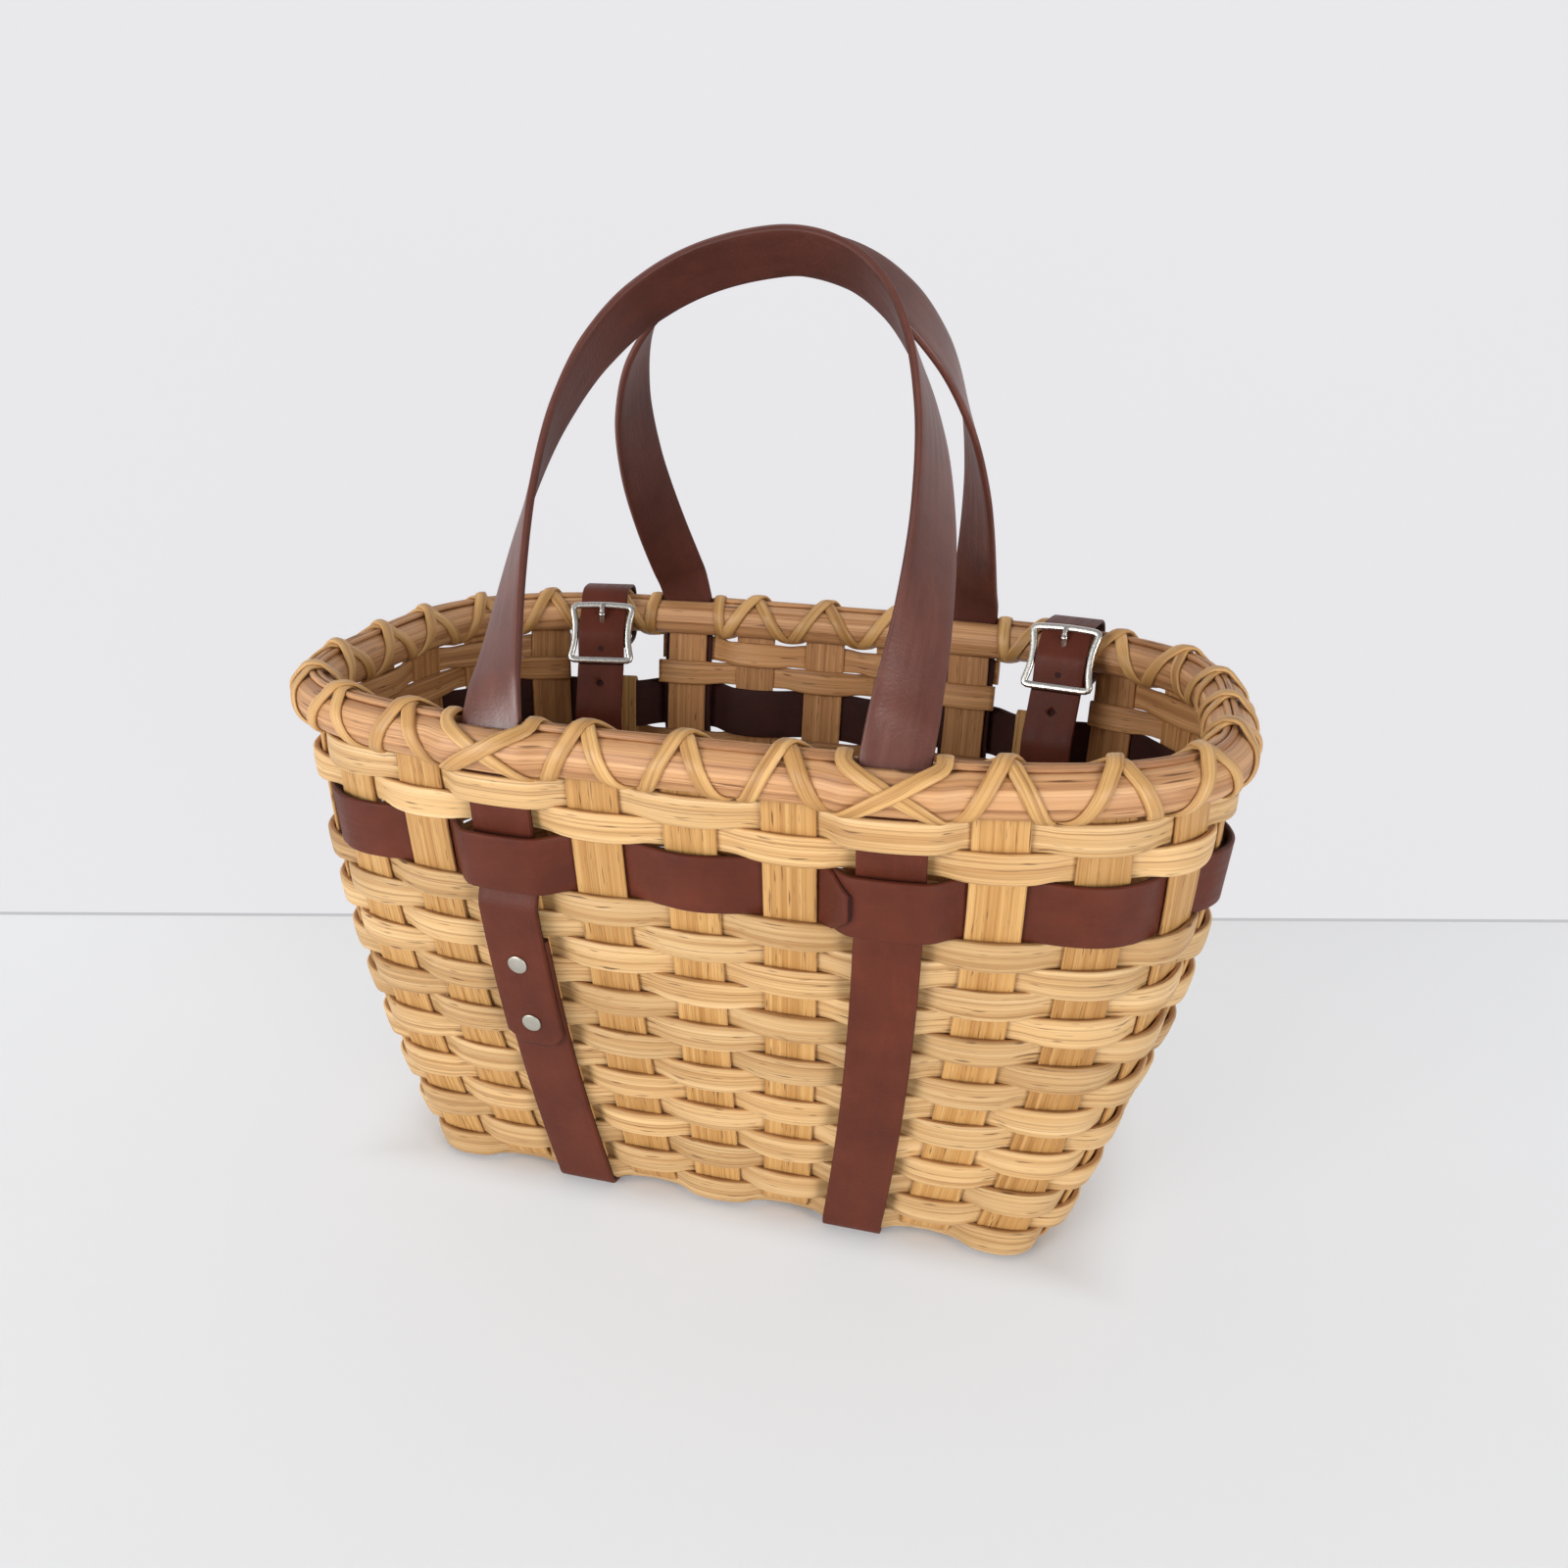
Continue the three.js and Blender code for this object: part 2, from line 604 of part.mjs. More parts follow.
// Carry straps. A strap lies outside the rows, dips under the band and the top row, and ends in the rim.
const onStake = restingOn(strapStake, strapThickness);
const onRows = restingOn(strapStake, reedThickness) + reedThickness / 2 + clearance + strapThickness / 2;
const dipFrom = firstRow + (rowCount - 2) * rowPitch + reedWidth / 2 + clearance;
const dipTo = bandBottom - clearance;
const strapEnd = hingeHeight - strapThickness / 2 - clearance - edgeRoom / 2;
const dippedHeights = [dipTo, ...wallLevels.filter((z) => z > dipTo && z < rimMid - edgeRoom), strapEnd];
const strapFloor = strapThickness / 2;

function strapPoint(k, z, offset, sense) {
  const { p, s, o } = wallFrame(k, z);
  return { p: moved(p, [o, offset]), flat: s.multiplyScalar(sense) };
}

// Up one wall from the base edge: dips from the rows to the stake between two heights.
function strapWall(k, sense, from = firstRow) {
  const heights = wallLevels.filter((z) => z > from + edgeRoom && z < dipFrom - edgeRoom);
  return [
    ...[from, ...heights, dipFrom].map((z) => strapPoint(k, z, onRows, sense)),
    ...dippedHeights.map((z) => strapPoint(k, z, onStake, sense)),
  ];
}

function addStrap(name, path, cut = (body) => body, endShare = 1) {
  const stations = stripStations(path.map(({ p }) => p), path.map(({ flat }) => flat));
  stations[0].a = stations[0].a.clone().multiplyScalar(endShare);
  const body = solid(loft(stations, rectangle(strapWidth, strapThickness)));
  add(name, geometryOf(cut(body)), leatherFinish);
}

// Under the base between the front stake k and the back stake opposite.
function strapBase(k) {
  return [-1, 1].map((side) => {
    const foot = footOf(wrap(side < 0 ? k : halfTurn - k)).p;
    const p = new THREE.Vector3(foot.x, side * (footHalfWidth + onRows), strapFloor);
    return { p, flat: right };
  });
}

addStrap('carry_strap_right', [
  ...strapWall(strapStake, 1).reverse(),
  ...strapBase(strapStake),
  ...strapWall(halfTurn - strapStake, -1),
]);

// The left strap is lapped on the front wall, with the upper layer outside and two rivets through both.
const lapLayer = strapThickness + clearance;
const leftStake = stakeCount - strapStake;
const postRoom = rivetPostRadius + clearance;
const capRoom = rivetCapRadius + clearance;
const capSink = rivetCapHeight + clearance;

function drill(radius, z, from, to) {
  const { p, o } = wallFrame(leftStake, z);
  const hole = new THREE.CylinderGeometry(radius, radius, to - from, roundSides);
  const turn = new THREE.Quaternion().setFromUnitVectors(new THREE.Vector3(0, 1, 0), o);
  hole.applyQuaternion(turn);
  hole.translate(...moved(p, [o, (from + to) / 2]).toArray());
  return solid(hole);
}

const underFace = onRows - strapThickness / 2;
const lapFace = onRows + lapLayer + strapThickness / 2;

addStrap('carry_strap_left', [
  ...strapWall(leftStake, 1).filter(({ p }) => p.z < underEndHeight - edgeRoom).reverse(),
  ...strapBase(-strapStake),
  ...strapWall(halfTurn + strapStake, -1),
].toSpliced(0, 0, strapPoint(leftStake, underEndHeight, onRows, 1)), (body) => {
  for (const z of rivetHeights) {
    body = body.subtract(drill(postRoom, z, underFace - 1, underFace + strapThickness + 1));
    body = body.subtract(drill(capRoom, z, underFace - 1, underFace + capSink));
  }
  return body;
});

addStrap('carry_strap_lap', [
  strapPoint(leftStake, lapEndHeight, onRows + lapLayer, 1),
  strapPoint(leftStake, lapEndHeight + lapClip, onRows + lapLayer, 1),
  ...wallLevels.filter((z) => z > lapEndHeight + lapClip && z < underEndHeight)
    .map((z) => strapPoint(leftStake, z, onRows + lapLayer, 1)),
  strapPoint(leftStake, underEndHeight + clearance, onRows + lapLayer, 1),
  ...dippedHeights.map((z) => strapPoint(leftStake, z, onStake, 1)),
], (body) => {
  for (const z of rivetHeights) body = body.subtract(drill(postRoom, z, underFace, lapFace + 1));
  return body;
}, 1 - (2 * lapClip) / strapWidth);

rivetHeights.forEach((z, i) => {
  const { p, o } = wallFrame(leftStake, z);
  const under = underFace + clearance / 2;
  const head = lapFace + clearance;
  const profile = [
    [0, under], [rivetCapRadius, under], [rivetCapRadius, under + rivetCapHeight],
    [rivetPostRadius, under + rivetCapHeight], [rivetPostRadius, head], [rivetHeadRadius, head],
    [rivetHeadRadius, head + 0.45 * rivetHeadHeight],
    [0.7 * rivetHeadRadius, head + 0.9 * rivetHeadHeight], [0, head + rivetHeadHeight],
  ].map(([r, y]) => new THREE.Vector2(r, y));
  const rivet = new THREE.LatheGeometry(profile, roundSides);
  rivet.applyQuaternion(new THREE.Quaternion().setFromUnitVectors(new THREE.Vector3(0, 1, 0), o));
  rivet.translate(p.x, p.y, p.z);
  add(['rivet_upper', 'rivet_lower'][i], geometryOf(solid(rivet)), nickelFinish);
});

// Handles. Each is a strip that rises from its two straps, turns its face outwards up the legs and
// leans in, so that the lower edges of the two strips meet above the middle of the basket.
const leftFoot = strapPoint(leftStake, hingeHeight, onStake, 1).p;

function handleArch() {
  const crownReach = (strapWidth / 2) * Math.cos(handleTilt) + (strapThickness / 2) * Math.sin(handleTilt);
  const crown = new THREE.Vector3(0, -crownReach - clearance, hingeHeight + handleRise);
  const controls = [
    leftFoot, leftFoot.clone().add(handleLean), leftFoot.clone().add(handleShoulder),
    moved(crown, [right, -handleCrown]), crown,
  ];
  const crownFace = new THREE.Vector3(0, Math.sin(handleTilt), Math.cos(handleTilt));
  const choose = [1, 4, 6, 4, 1];
  const half = Array.from({ length: handleSteps + 1 }, (_, i) => {
    const t = i / handleSteps;
    const p = new THREE.Vector3();
    const run = new THREE.Vector3();
    controls.forEach((c, n) => p.addScaledVector(c, choose[n] * t ** n * (1 - t) ** (4 - n)));
    for (let n = 0; n < 4; n++) {
      const weight = [1, 3, 3, 1][n] * t ** n * (1 - t) ** (3 - n);
      run.addScaledVector(controls[n + 1], weight).addScaledVector(controls[n], -weight);
    }
    run.normalize();
    const turned = t ** handleTurnPace;
    const face = new THREE.Vector3(0, -((1 - turned) ** 2), 0);
    face.addScaledVector(right, -2 * turned * (1 - turned) * handleTurn);
    face.addScaledVector(crownFace, turned ** 2);
    face.addScaledVector(run, -face.dot(run)).normalize();
    const across = run.cross(face);
    const reach = (strapWidth / 2) * Math.abs(across.y) + (strapThickness / 2) * Math.abs(face.y);
    p.y = Math.min(p.y, -reach - clearance);
    return { p, a: across, b: face };
  });
  const mirrored = half.slice(0, -1).reverse().map(({ p, a, b }) => {
    const flip = (v) => new THREE.Vector3(-v.x, v.y, v.z);
    return { p: flip(p), a: flip(a), b: flip(b) };
  });
  return [...half, ...mirrored];
}

const arch = handleArch();
const strapSection = rectangle(strapWidth, strapThickness);
add('front_handle', loft(arch.toReversed(), strapSection), leatherFinish);
const turnedRound = ({ p, a, b }) => {
  const flip = (v) => new THREE.Vector3(v.x, -v.y, v.z);
  return { p: flip(p), a: flip(a), b: flip(b) };
};
add('rear_handle', loft(arch.map(turnedRound), strapSection), leatherFinish);

// Rim straps. Each lies in a plane square to the rim: x inwards and y up from the middle of the rim.
// The buckle has its own directions there: along the strap, and outwards from its face.
const lashStack = lashClearance + 2 * lashThickness + lashStep + clearance;
const rimSide = stakeThickness / 2 + clearance + rimDepth + lashStack;
const strapHalf = rimStrapThickness / 2;
const loopOut = rimSide + rimStrapRoom + strapHalf;
const loopTop = fillerTop + lashStack + rimStrapRoom + strapHalf;
const loopBottom = rimHeight / 2 + lashStack + rimStrapRoom + strapHalf;
const barSeat = centreBarRadius + clearance + strapHalf;
const overFold = barSeat + rimStrapThickness + clearance;
const barMid = buckleHalfLength - buckleBar / 2;
const underBar = buckleDepth - buckleThickness / 2 - clearance - strapHalf;
const frameInner = rimStrapWidth / 2 + clearance;
const freeEnd = buckleHalfLength + clearance;
const tailPivot = freeEnd + clearance + strapHalf;

function rimStrapFrame(k, shift, drop) {
  const { p, s, u, o } = rimFrames[k];
  const alongStrap = moved(new THREE.Vector3(), [o, Math.sin(buckleTilt)], [u, Math.cos(buckleTilt)]);
  const offStrap = moved(new THREE.Vector3(), [o, -Math.cos(buckleTilt)], [u, Math.sin(buckleTilt)]);
  const middle = moved(p, [s, shift]);
  const bar = moved(middle, [o, -rimSide - buckleStand], [u, -drop]);
  return {
    s,
    low: drop > rimHeight / 4,
    onRim: (x, y) => moved(middle, [o, -x], [u, y]),
    onBuckle: (x, y) => moved(bar, [alongStrap, x], [offStrap, y]),
    basis: new THREE.Matrix4().makeBasis(s.clone().negate(), alongStrap, offStrap).setPosition(bar),
  };
}

// A box in the buckle's own directions: across, along the strap and off its face.
function buckleBox(frame, width, along, off) {
  const box = new THREE.BoxGeometry(width, along[1] - along[0], off[1] - off[0]);
  box.translate(0, (along[0] + along[1]) / 2, (off[0] + off[1]) / 2);
  return solid(box.applyMatrix4(frame.basis));
}

function punch(frame, along, off, depth) {
  const hole = new THREE.CylinderGeometry(holeRadius, holeRadius, depth, roundSides);
  hole.rotateX(Math.PI / 2);
  hole.translate(0, along, off);
  return solid(hole.applyMatrix4(frame.basis));
}

function rimStrap(frame) {
  const { onRim, onBuckle, s, low } = frame;
  const diagonal = barSeat * Math.SQRT1_2;
  const rise = low ? [onRim(0.92 * loopOut, 0.55 * loopTop)] : [];
  const underRim = low
    ? [onRim(0.6 * loopOut, -loopBottom), onRim(1.02 * loopOut, -0.93 * loopBottom), onBuckle(-2, -barSeat)]
    : [onRim(0.9 * loopOut, -loopBottom), onBuckle(-0.6 * buckleHalfLength, -barSeat)];
  const points = [
    onBuckle(-freeEnd, underBar), onBuckle(-barMid + buckleBar / 2, underBar),
    onBuckle(-barSeat, overFold), onBuckle(barSeat, overFold),
    onBuckle(barMid - buckleBar / 2, underBar), onBuckle(buckleHalfLength, underBar),
    ...rise, onRim(0.5 * loopOut, loopTop), onRim(-0.6 * loopOut, loopTop - strapHalf),
    onRim(-loopOut, 0.5 * loopTop), onRim(-loopOut, -0.5 * loopBottom), onRim(-0.6 * loopOut, -loopBottom),
    ...underRim, onBuckle(0, -barSeat), onBuckle(diagonal, -diagonal), onBuckle(barSeat, 0),
    onBuckle(diagonal, diagonal), onBuckle(0, barSeat), onBuckle(-foldLength, barSeat),
  ];
  const stations = stripStations(points, points.map(() => s));
  const body = solid(loft(stations, rectangle(rimStrapWidth, rimStrapThickness)));
  const eyeRoom = barSeat + strapHalf + clearance / 2;
  const slotRoom = 4 * clearance;
  const eyeSlot = buckleBox(frame, tongueEyeWidth + slotRoom, [-eyeRoom, eyeRoom], [-eyeRoom, eyeRoom]);
  const slotLength = [1, barMid - buckleBar];
  const tongueSlot = buckleBox(frame, tongueWidth + slotRoom, slotLength, [barSeat - 1, 2 * overFold]);
  const spareHole = punch(frame, -0.62 * barMid, underBar + 2 * strapHalf, 4 * rimStrapThickness);
  return geometryOf(body.subtract(eyeSlot).subtract(tongueSlot).subtract(spareHole));
}

function buckleFrame(frame) {
  const outline = (half, length, waist) => {
    const shape = new THREE.Path();
    const [x, y] = [half + waist, length];
    shape.moveTo(-x, -y);
    shape.lineTo(x, -y);
    shape.quadraticCurveTo(half - waist, 0, x, y);
    shape.lineTo(-x, y);
    shape.quadraticCurveTo(-half + waist, 0, -x, -y);
    return shape.getPoints(4).slice(0, -1);
  };
  const shape = new THREE.Shape(outline(frameInner + buckleBar, buckleHalfLength, buckleWaist));
  const inside = outline(frameInner + buckleWaist / 2, buckleHalfLength - buckleBar, buckleWaist / 2);
  shape.holes.push(new THREE.Path(inside));
  const ring = new THREE.ExtrudeGeometry(shape, { depth: buckleThickness, bevelEnabled: false });
  ring.translate(0, 0, buckleDepth - buckleThickness / 2);
  let body = solid(ring.applyMatrix4(frame.basis));
  const earDepth = [-centreBarRadius, buckleDepth];
  for (const side of [-1, 1]) {
    const ear = new THREE.BoxGeometry(0.7 * buckleBar, 3 * centreBarRadius, earDepth[1] - earDepth[0]);
    ear.translate(side * (frameInner + 0.5 * buckleBar), 0, (earDepth[0] + earDepth[1]) / 2);
    body = body.add(solid(ear.applyMatrix4(frame.basis)));
  }
  const bar = new THREE.CylinderGeometry(centreBarRadius, centreBarRadius, 2 * frameInner + buckleBar, 8);
  bar.rotateZ(Math.PI / 2);
  return geometryOf(body.add(solid(bar.applyMatrix4(frame.basis))));
}

// Tongue: an eye round the centre bar and a shank that comes through the strap and lies on the top bar.
function buckleTongue(frame) {
  const eyeInner = centreBarRadius + clearance;
  const eyeOuter = eyeInner + 0.6 * tongueThickness;
  const shape = new THREE.Shape().absarc(0, 0, eyeOuter, 0, 2 * Math.PI);
  shape.holes.push(new THREE.Path().absarc(0, 0, eyeInner, 0, 2 * Math.PI));
  const depth = tongueEyeWidth;
  const eye = new THREE.ExtrudeGeometry(shape, { depth, bevelEnabled: false, curveSegments: 8 });
  eye.translate(0, 0, -tongueEyeWidth / 2);
  eye.rotateY(Math.PI / 2);
  eye.rotateX(Math.PI / 2);
  const onBar = buckleDepth + buckleThickness / 2 + clearance + tongueThickness / 2;
  const middle = (eyeInner + eyeOuter) / 2;
  const points = [[0.7 * middle, 0.7 * middle], [0.42 * barMid, 0.57 * onBar], [barMid - buckleBar, onBar],
    [buckleHalfLength + clearance, onBar]].map(([x, y]) => frame.onBuckle(x, y));
  const stations = stripStations(points, points.map(() => frame.s));
  const shank = solid(loft(stations, rectangle(tongueWidth, tongueThickness)));
  return geometryOf(shank.add(solid(eye.applyMatrix4(frame.basis))));
}

// Tail: the strap's free end, hanging inside the basket, with a punched hole. Its upper end is
// rounded about the line that it swings on.
function strapTail(frame) {
  const rounding = [[0.98, 0.2], [0.71, 0.71]];
  const end = rounding.map(([reach]) => frame.onBuckle(reach * strapHalf - tailPivot, underBar));
  const pivot = frame.onBuckle(-tailPivot, underBar);
  const bend = frame.onBuckle(-tailPivot - rimStrapWidth, underBar);
  const fall = moved(bend, [up, -(tailLength - rimStrapWidth)]);
  const clip = moved(fall, [up, tailClip]);
  const points = [...end, pivot, bend, clip, fall];
  const stations = stripStations(points, points.map(() => frame.s));
  rounding.forEach(([, share], i) => stations[i].b.multiplyScalar(share));
  stations.at(-1).a = frame.s.clone().multiplyScalar(1 - tailClip / rimStrapWidth);
  let body = solid(loft(stations, rectangle(rimStrapWidth, rimStrapThickness)));
  body = body.subtract(punch(frame, -0.62 * barMid - holePitch, underBar, 4 * rimStrapThickness));
  return geometryOf(body);
}

const [rightWindow, leftWindow] = windowStakes;
const rimStraps = [
  ['left', leftWindow, leftStrapShift, leftBuckleDrop],
  ['right', rightWindow, rightStrapShift, rightBuckleDrop],
];
for (const [side, k, shift, drop] of rimStraps) {
  const frame = rimStrapFrame(k, -shift, drop);
  add(`rim_strap_${side}`, rimStrap(frame), leatherFinish);
  add(`strap_tail_${side}`, strapTail(frame), leatherFinish);
  add(`buckle_frame_${side}`, buckleFrame(frame), nickelFinish);
  add(`buckle_tongue_${side}`, buckleTongue(frame), nickelFinish);
}

export default basket;
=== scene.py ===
"""A hand-woven reed bicycle basket with a leather band, leather straps and handles, on a pale floor."""

import functools
import math
import random

import bpy
import numpy as np
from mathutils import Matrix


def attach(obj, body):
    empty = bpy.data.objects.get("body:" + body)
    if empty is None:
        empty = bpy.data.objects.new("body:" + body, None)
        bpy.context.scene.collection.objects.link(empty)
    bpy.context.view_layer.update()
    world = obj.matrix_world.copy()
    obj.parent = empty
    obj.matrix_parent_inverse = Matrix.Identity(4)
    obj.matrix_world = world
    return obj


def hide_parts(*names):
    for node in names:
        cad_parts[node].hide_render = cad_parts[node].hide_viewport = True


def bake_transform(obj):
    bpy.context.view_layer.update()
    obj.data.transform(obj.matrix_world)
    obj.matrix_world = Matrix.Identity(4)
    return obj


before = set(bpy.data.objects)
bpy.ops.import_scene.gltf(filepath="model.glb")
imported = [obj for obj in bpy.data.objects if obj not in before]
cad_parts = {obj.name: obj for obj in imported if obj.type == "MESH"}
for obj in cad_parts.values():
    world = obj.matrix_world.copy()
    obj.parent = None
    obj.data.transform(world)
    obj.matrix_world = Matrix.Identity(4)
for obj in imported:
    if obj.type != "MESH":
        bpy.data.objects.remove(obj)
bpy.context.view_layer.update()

# Stakes: fourteen strips of flat reed, plain-woven where they cross under the base.
# They are soaked, bent up at the edge of the base and stand as the ribs of the walls,
# and the two beside the windows are folded over the leather band and tucked in.
CROSS, LONG = range(-4, 5), range(-2, 3)
CROSS_PITCH, LONG_PITCH = 30.2, 27.5
STAKES = 2 * (len(CROSS) + len(LONG))
RIGHT, BACK, LEFT = STAKES // 4, STAKES // 2, 3 * STAKES // 4
STAKE_WIDTH, STAKE_THICK, STAKE_ROUNDING = 20.5, 1.6, 0.06
FOOT_X, FOOT_Y = 142.0, 74.0
RIM_X, RIM_Y, RIM_SQUARE = 190.5, 111.5, 3.3
BASE_Z, RIM_Z, STAKE_TOP = 5.25, 217.7, 221.2
BULGE = np.array([1.35, 0.3])
BASE_RISE, BASE_HOLD, BASE_FADE, BASE_BEND = 0.95, 9.8, 6.0, 5.0
FOLDED = (BACK - 3, BACK + 3)
FOLD_Z, FOLD_DEPTH, TUCK = 182.1, 4.9, 33.0
RING_STEPS, CORNER_PULL = 16, 12.5
GRAIN_SHIFT = 9.7
METRE = 1000
DOWN = np.array([0, 0, -1.0])


def unit(v):
    return v / np.maximum(np.linalg.norm(v, axis=-1, keepdims=True), 1e-9)


def smooth_step(t):
    t = np.clip(t, 0, 1)
    return t * t * (3 - 2 * t)


def curve(controls, t):
    """The point at t, from 0 to 1, on the smooth curve that these points pull."""
    order = len(controls) - 1
    return sum(math.comb(order, n) * t**n * (1 - t) ** (order - n) * c for n, c in enumerate(controls))


def lengths(line, closed=False):
    """Lengths along a line of points, from 0."""
    line = np.concatenate([line, line[:1]]) if closed else line
    return np.concatenate([[0], np.cumsum(np.linalg.norm(np.diff(line, axis=0), axis=1))])


def between(at, places, values):
    """Rows of values at these lengths, from those at the given places."""
    return np.stack([np.interp(at, places, column) for column in values.T], -1)


def rim_places():
    """Where the stakes meet the rim, evenly spaced along it, and which way the rim runs there."""
    angle = np.linspace(-math.pi / 2, 1.5 * math.pi, 14401)
    circle = np.stack([np.cos(angle), np.sin(angle)], 1)
    line = np.sign(circle) * np.abs(circle) ** (2 / RIM_SQUARE) * [RIM_X, RIM_Y]
    length = lengths(line)
    at = np.arange(STAKES) / STAKES * length[-1]
    before, here, after = (between((at + step) % length[-1], length, line) for step in (-1, 0, 1))
    return here, unit(after - before)


def stake_feet():
    """Where each stake leaves the base, counted from the middle of the front towards +X."""
    places, runs = np.zeros((STAKES, 2)), np.zeros((STAKES, 2))
    for j in CROSS:
        places[j], places[BACK - j] = (j * CROSS_PITCH, -FOOT_Y), (j * CROSS_PITCH, FOOT_Y)
        runs[j], runs[BACK - j] = (1, 0), (-1, 0)
    for m in LONG:
        places[RIGHT + m], places[LEFT - m] = (FOOT_X, m * LONG_PITCH), (-FOOT_X, m * LONG_PITCH)
        runs[RIGHT + m], runs[LEFT - m] = (0, 1), (0, -1)
    return places, runs


heads, head_runs = rim_places()
feet, foot_runs = stake_feet()


def ring_line(z):
    """The wall's middle at height z, as one smooth closed line past all the stakes."""
    t = (z - BASE_Z) / (RIM_Z - BASE_Z)
    here = feet + (heads - feet) * (t + BULGE * t * (1 - t))
    run = unit(foot_runs + (head_runs - foot_runs) * t)
    after, after_run = np.roll(here, -1, 0), np.roll(run, -1, 0)
    pull = np.maximum(np.linalg.norm(after - here, axis=1, keepdims=True) / 3, CORNER_PULL)
    controls = [p[:, None] for p in (here, here + run * pull, after - after_run * pull, after)]
    line = curve(controls, (np.arange(RING_STEPS) / RING_STEPS)[None, :, None]).reshape(-1, 2)
    return np.concatenate([line, np.full((len(line), 1), z)], 1)


@functools.cache
def ring(z):
    """The wall at height z: points, directions up and out of it, and lengths along it."""
    p = ring_line(z)
    along = unit(np.roll(p, -1, 0) - np.roll(p, 1, 0))
    up = unit(ring_line(z + 1) - ring_line(z - 1))
    up = unit(up - along * np.sum(up * along, 1, keepdims=True))
    return p, up, np.cross(along, up), lengths(p, closed=True)


def on_ring(z, at):
    """Point, up and out at the given lengths along the ring at height z."""
    *values, length = ring(z)
    at = np.asarray(at, float) % length[-1]
    p, up, out = (between(at, length, np.concatenate([value, value[:1]])) for value in values)
    return p, unit(up), unit(out)


def stake_at(z, k):
    return ring(z)[-1][(k % STAKES) * RING_STEPS]


def on_wall(z, k, across):
    """Point, up and out on the wall at stake k, across millimetres along from its middle."""
    return on_ring(z, stake_at(z, k) + np.asarray(across, float))


def rounded_section(count, rounding):
    """Places across a strip from -1 to 1, closer together at its rounded edges, and its thickness
    there as a share of the full one."""
    turn = np.array([0.0, 0.3, 0.7]) * rounding
    inner = np.linspace(-1 + rounding, 1 - rounding, count)
    v = np.concatenate([-1 + turn, inner, (1 - turn)[::-1]])
    past = np.clip((np.abs(v) - (1 - rounding)) / rounding, 0, 1)
    return v, np.sqrt(np.maximum(1 - past**2, 0))


def as_piece(mesh, materials):
    """The mesh as a piece of the scene, with these materials."""
    for material in materials:
        mesh.materials.append(material)
    piece = bpy.data.objects.new(mesh.name, mesh)
    bpy.context.collection.objects.link(piece)
    return piece


def strip(name, middle, normal, top, bottom, materials, tone=0.5, closed=False):
    """A strip as one closed mesh. middle is a grid of points along and across it, normal its outward
    directions, and top and bottom its thickness on the two faces. The first material is on the
    outward face, the last on the rest. Its grain coordinates are in metres."""
    n, m = middle.shape[:2]
    normal = normal if normal.ndim == 3 else normal[:, None]
    upper = middle + normal * np.broadcast_to(top, (n, m))[..., None]
    lower = middle - normal * np.broadcast_to(bottom, (n, m))[..., None]
    around = np.concatenate([upper, lower[:, m - 2:0:-1]], 1)
    loop = around.shape[1]
    along = lengths(middle[:, m // 2], closed) / METRE
    wide = lengths(middle[n // 2]) / METRE
    across = np.concatenate([wide, wide[m - 2:0:-1] + 2 * wide[-1], [0]]) + GRAIN_SHIFT * np.mean(tone)
    i, j = np.meshgrid(np.arange(n if closed else n - 1), np.arange(loop), indexing="ij")
    i2, j2 = (i + 1) % n, (j + 1) % loop
    quads = np.stack([i * loop + j, i * loop + j2, i2 * loop + j2, i2 * loop + j], -1).reshape(-1, 4)
    u = np.stack([along[i], along[i], along[i + 1], along[i + 1]], -1)
    v = np.stack([across[j], across[j + 1], across[j + 1], across[j]], -1)
    uv = np.stack([u, v], -1).reshape(-1, 4, 2)
    verts = around.reshape(-1, 3)
    a, b, c, d = (verts[quads[:, corner]] for corner in range(4))
    inside_out = np.sum(a * np.cross(b, c)) + np.sum(a * np.cross(c, d)) < 0
    if inside_out:
        quads, uv = quads[:, ::-1], uv[:, ::-1]
    faces, uv = [tuple(quad) for quad in quads.tolist()], uv.reshape(-1, 2)
    for end in [] if closed else [np.arange(loop)[::-1], np.arange(loop) + (n - 1) * loop]:
        end = end[::-1] if inside_out else end
        faces.append(tuple(end.tolist()))
        uv = np.concatenate([uv, (verts[end, :2] - verts[end[0], :2]) / METRE])
    slots = np.ones(len(faces), np.int32)
    slots[:len(quads)] = j.reshape(-1) >= m - 1
    mesh = bpy.data.meshes.new(name)
    mesh.from_pydata((verts / METRE).tolist(), [], faces)
    mesh.uv_layers.new(name="grain").data.foreach_set("uv", uv.astype(np.float32).ravel())
    shade = np.broadcast_to(np.asarray(tone, float).reshape(-1, 1), (n, loop))
    tones = mesh.attributes.new("tone", "FLOAT", "POINT")
    tones.data.foreach_set("value", shade.astype(np.float32).ravel())
    piece = as_piece(mesh, materials)
    if len(materials) > 1:
        mesh.polygons.foreach_set("material_index", slots)
    mesh.polygons.foreach_set("use_smooth", np.arange(len(faces)) < len(quads))
    mesh.update()
    return piece


def linear(*rgb):
    """The renderer's colour for red, green and blue as an eye sees them, from 0 to 255."""
    shares = np.array(rgb) / 255
    light = np.where(shares <= 0.04045, shares / 12.92, ((shares + 0.055) / 1.055) ** 2.4)
    return (*light.tolist(), 1)


def new_material(name):
    material = bpy.data.materials.new(name)
    material.use_nodes = True
    return material, material.node_tree, material.node_tree.nodes["Principled BSDF"]


def feed(tree, node, values):
    """Sets a node's inputs, by name or in order, from sockets or from plain values."""
    for key, value in values.items() if isinstance(values, dict) else enumerate(values):
        if isinstance(value, bpy.types.NodeSocket):
            tree.links.new(value, node.inputs[key])
        else:
            node.inputs[key].default_value = value


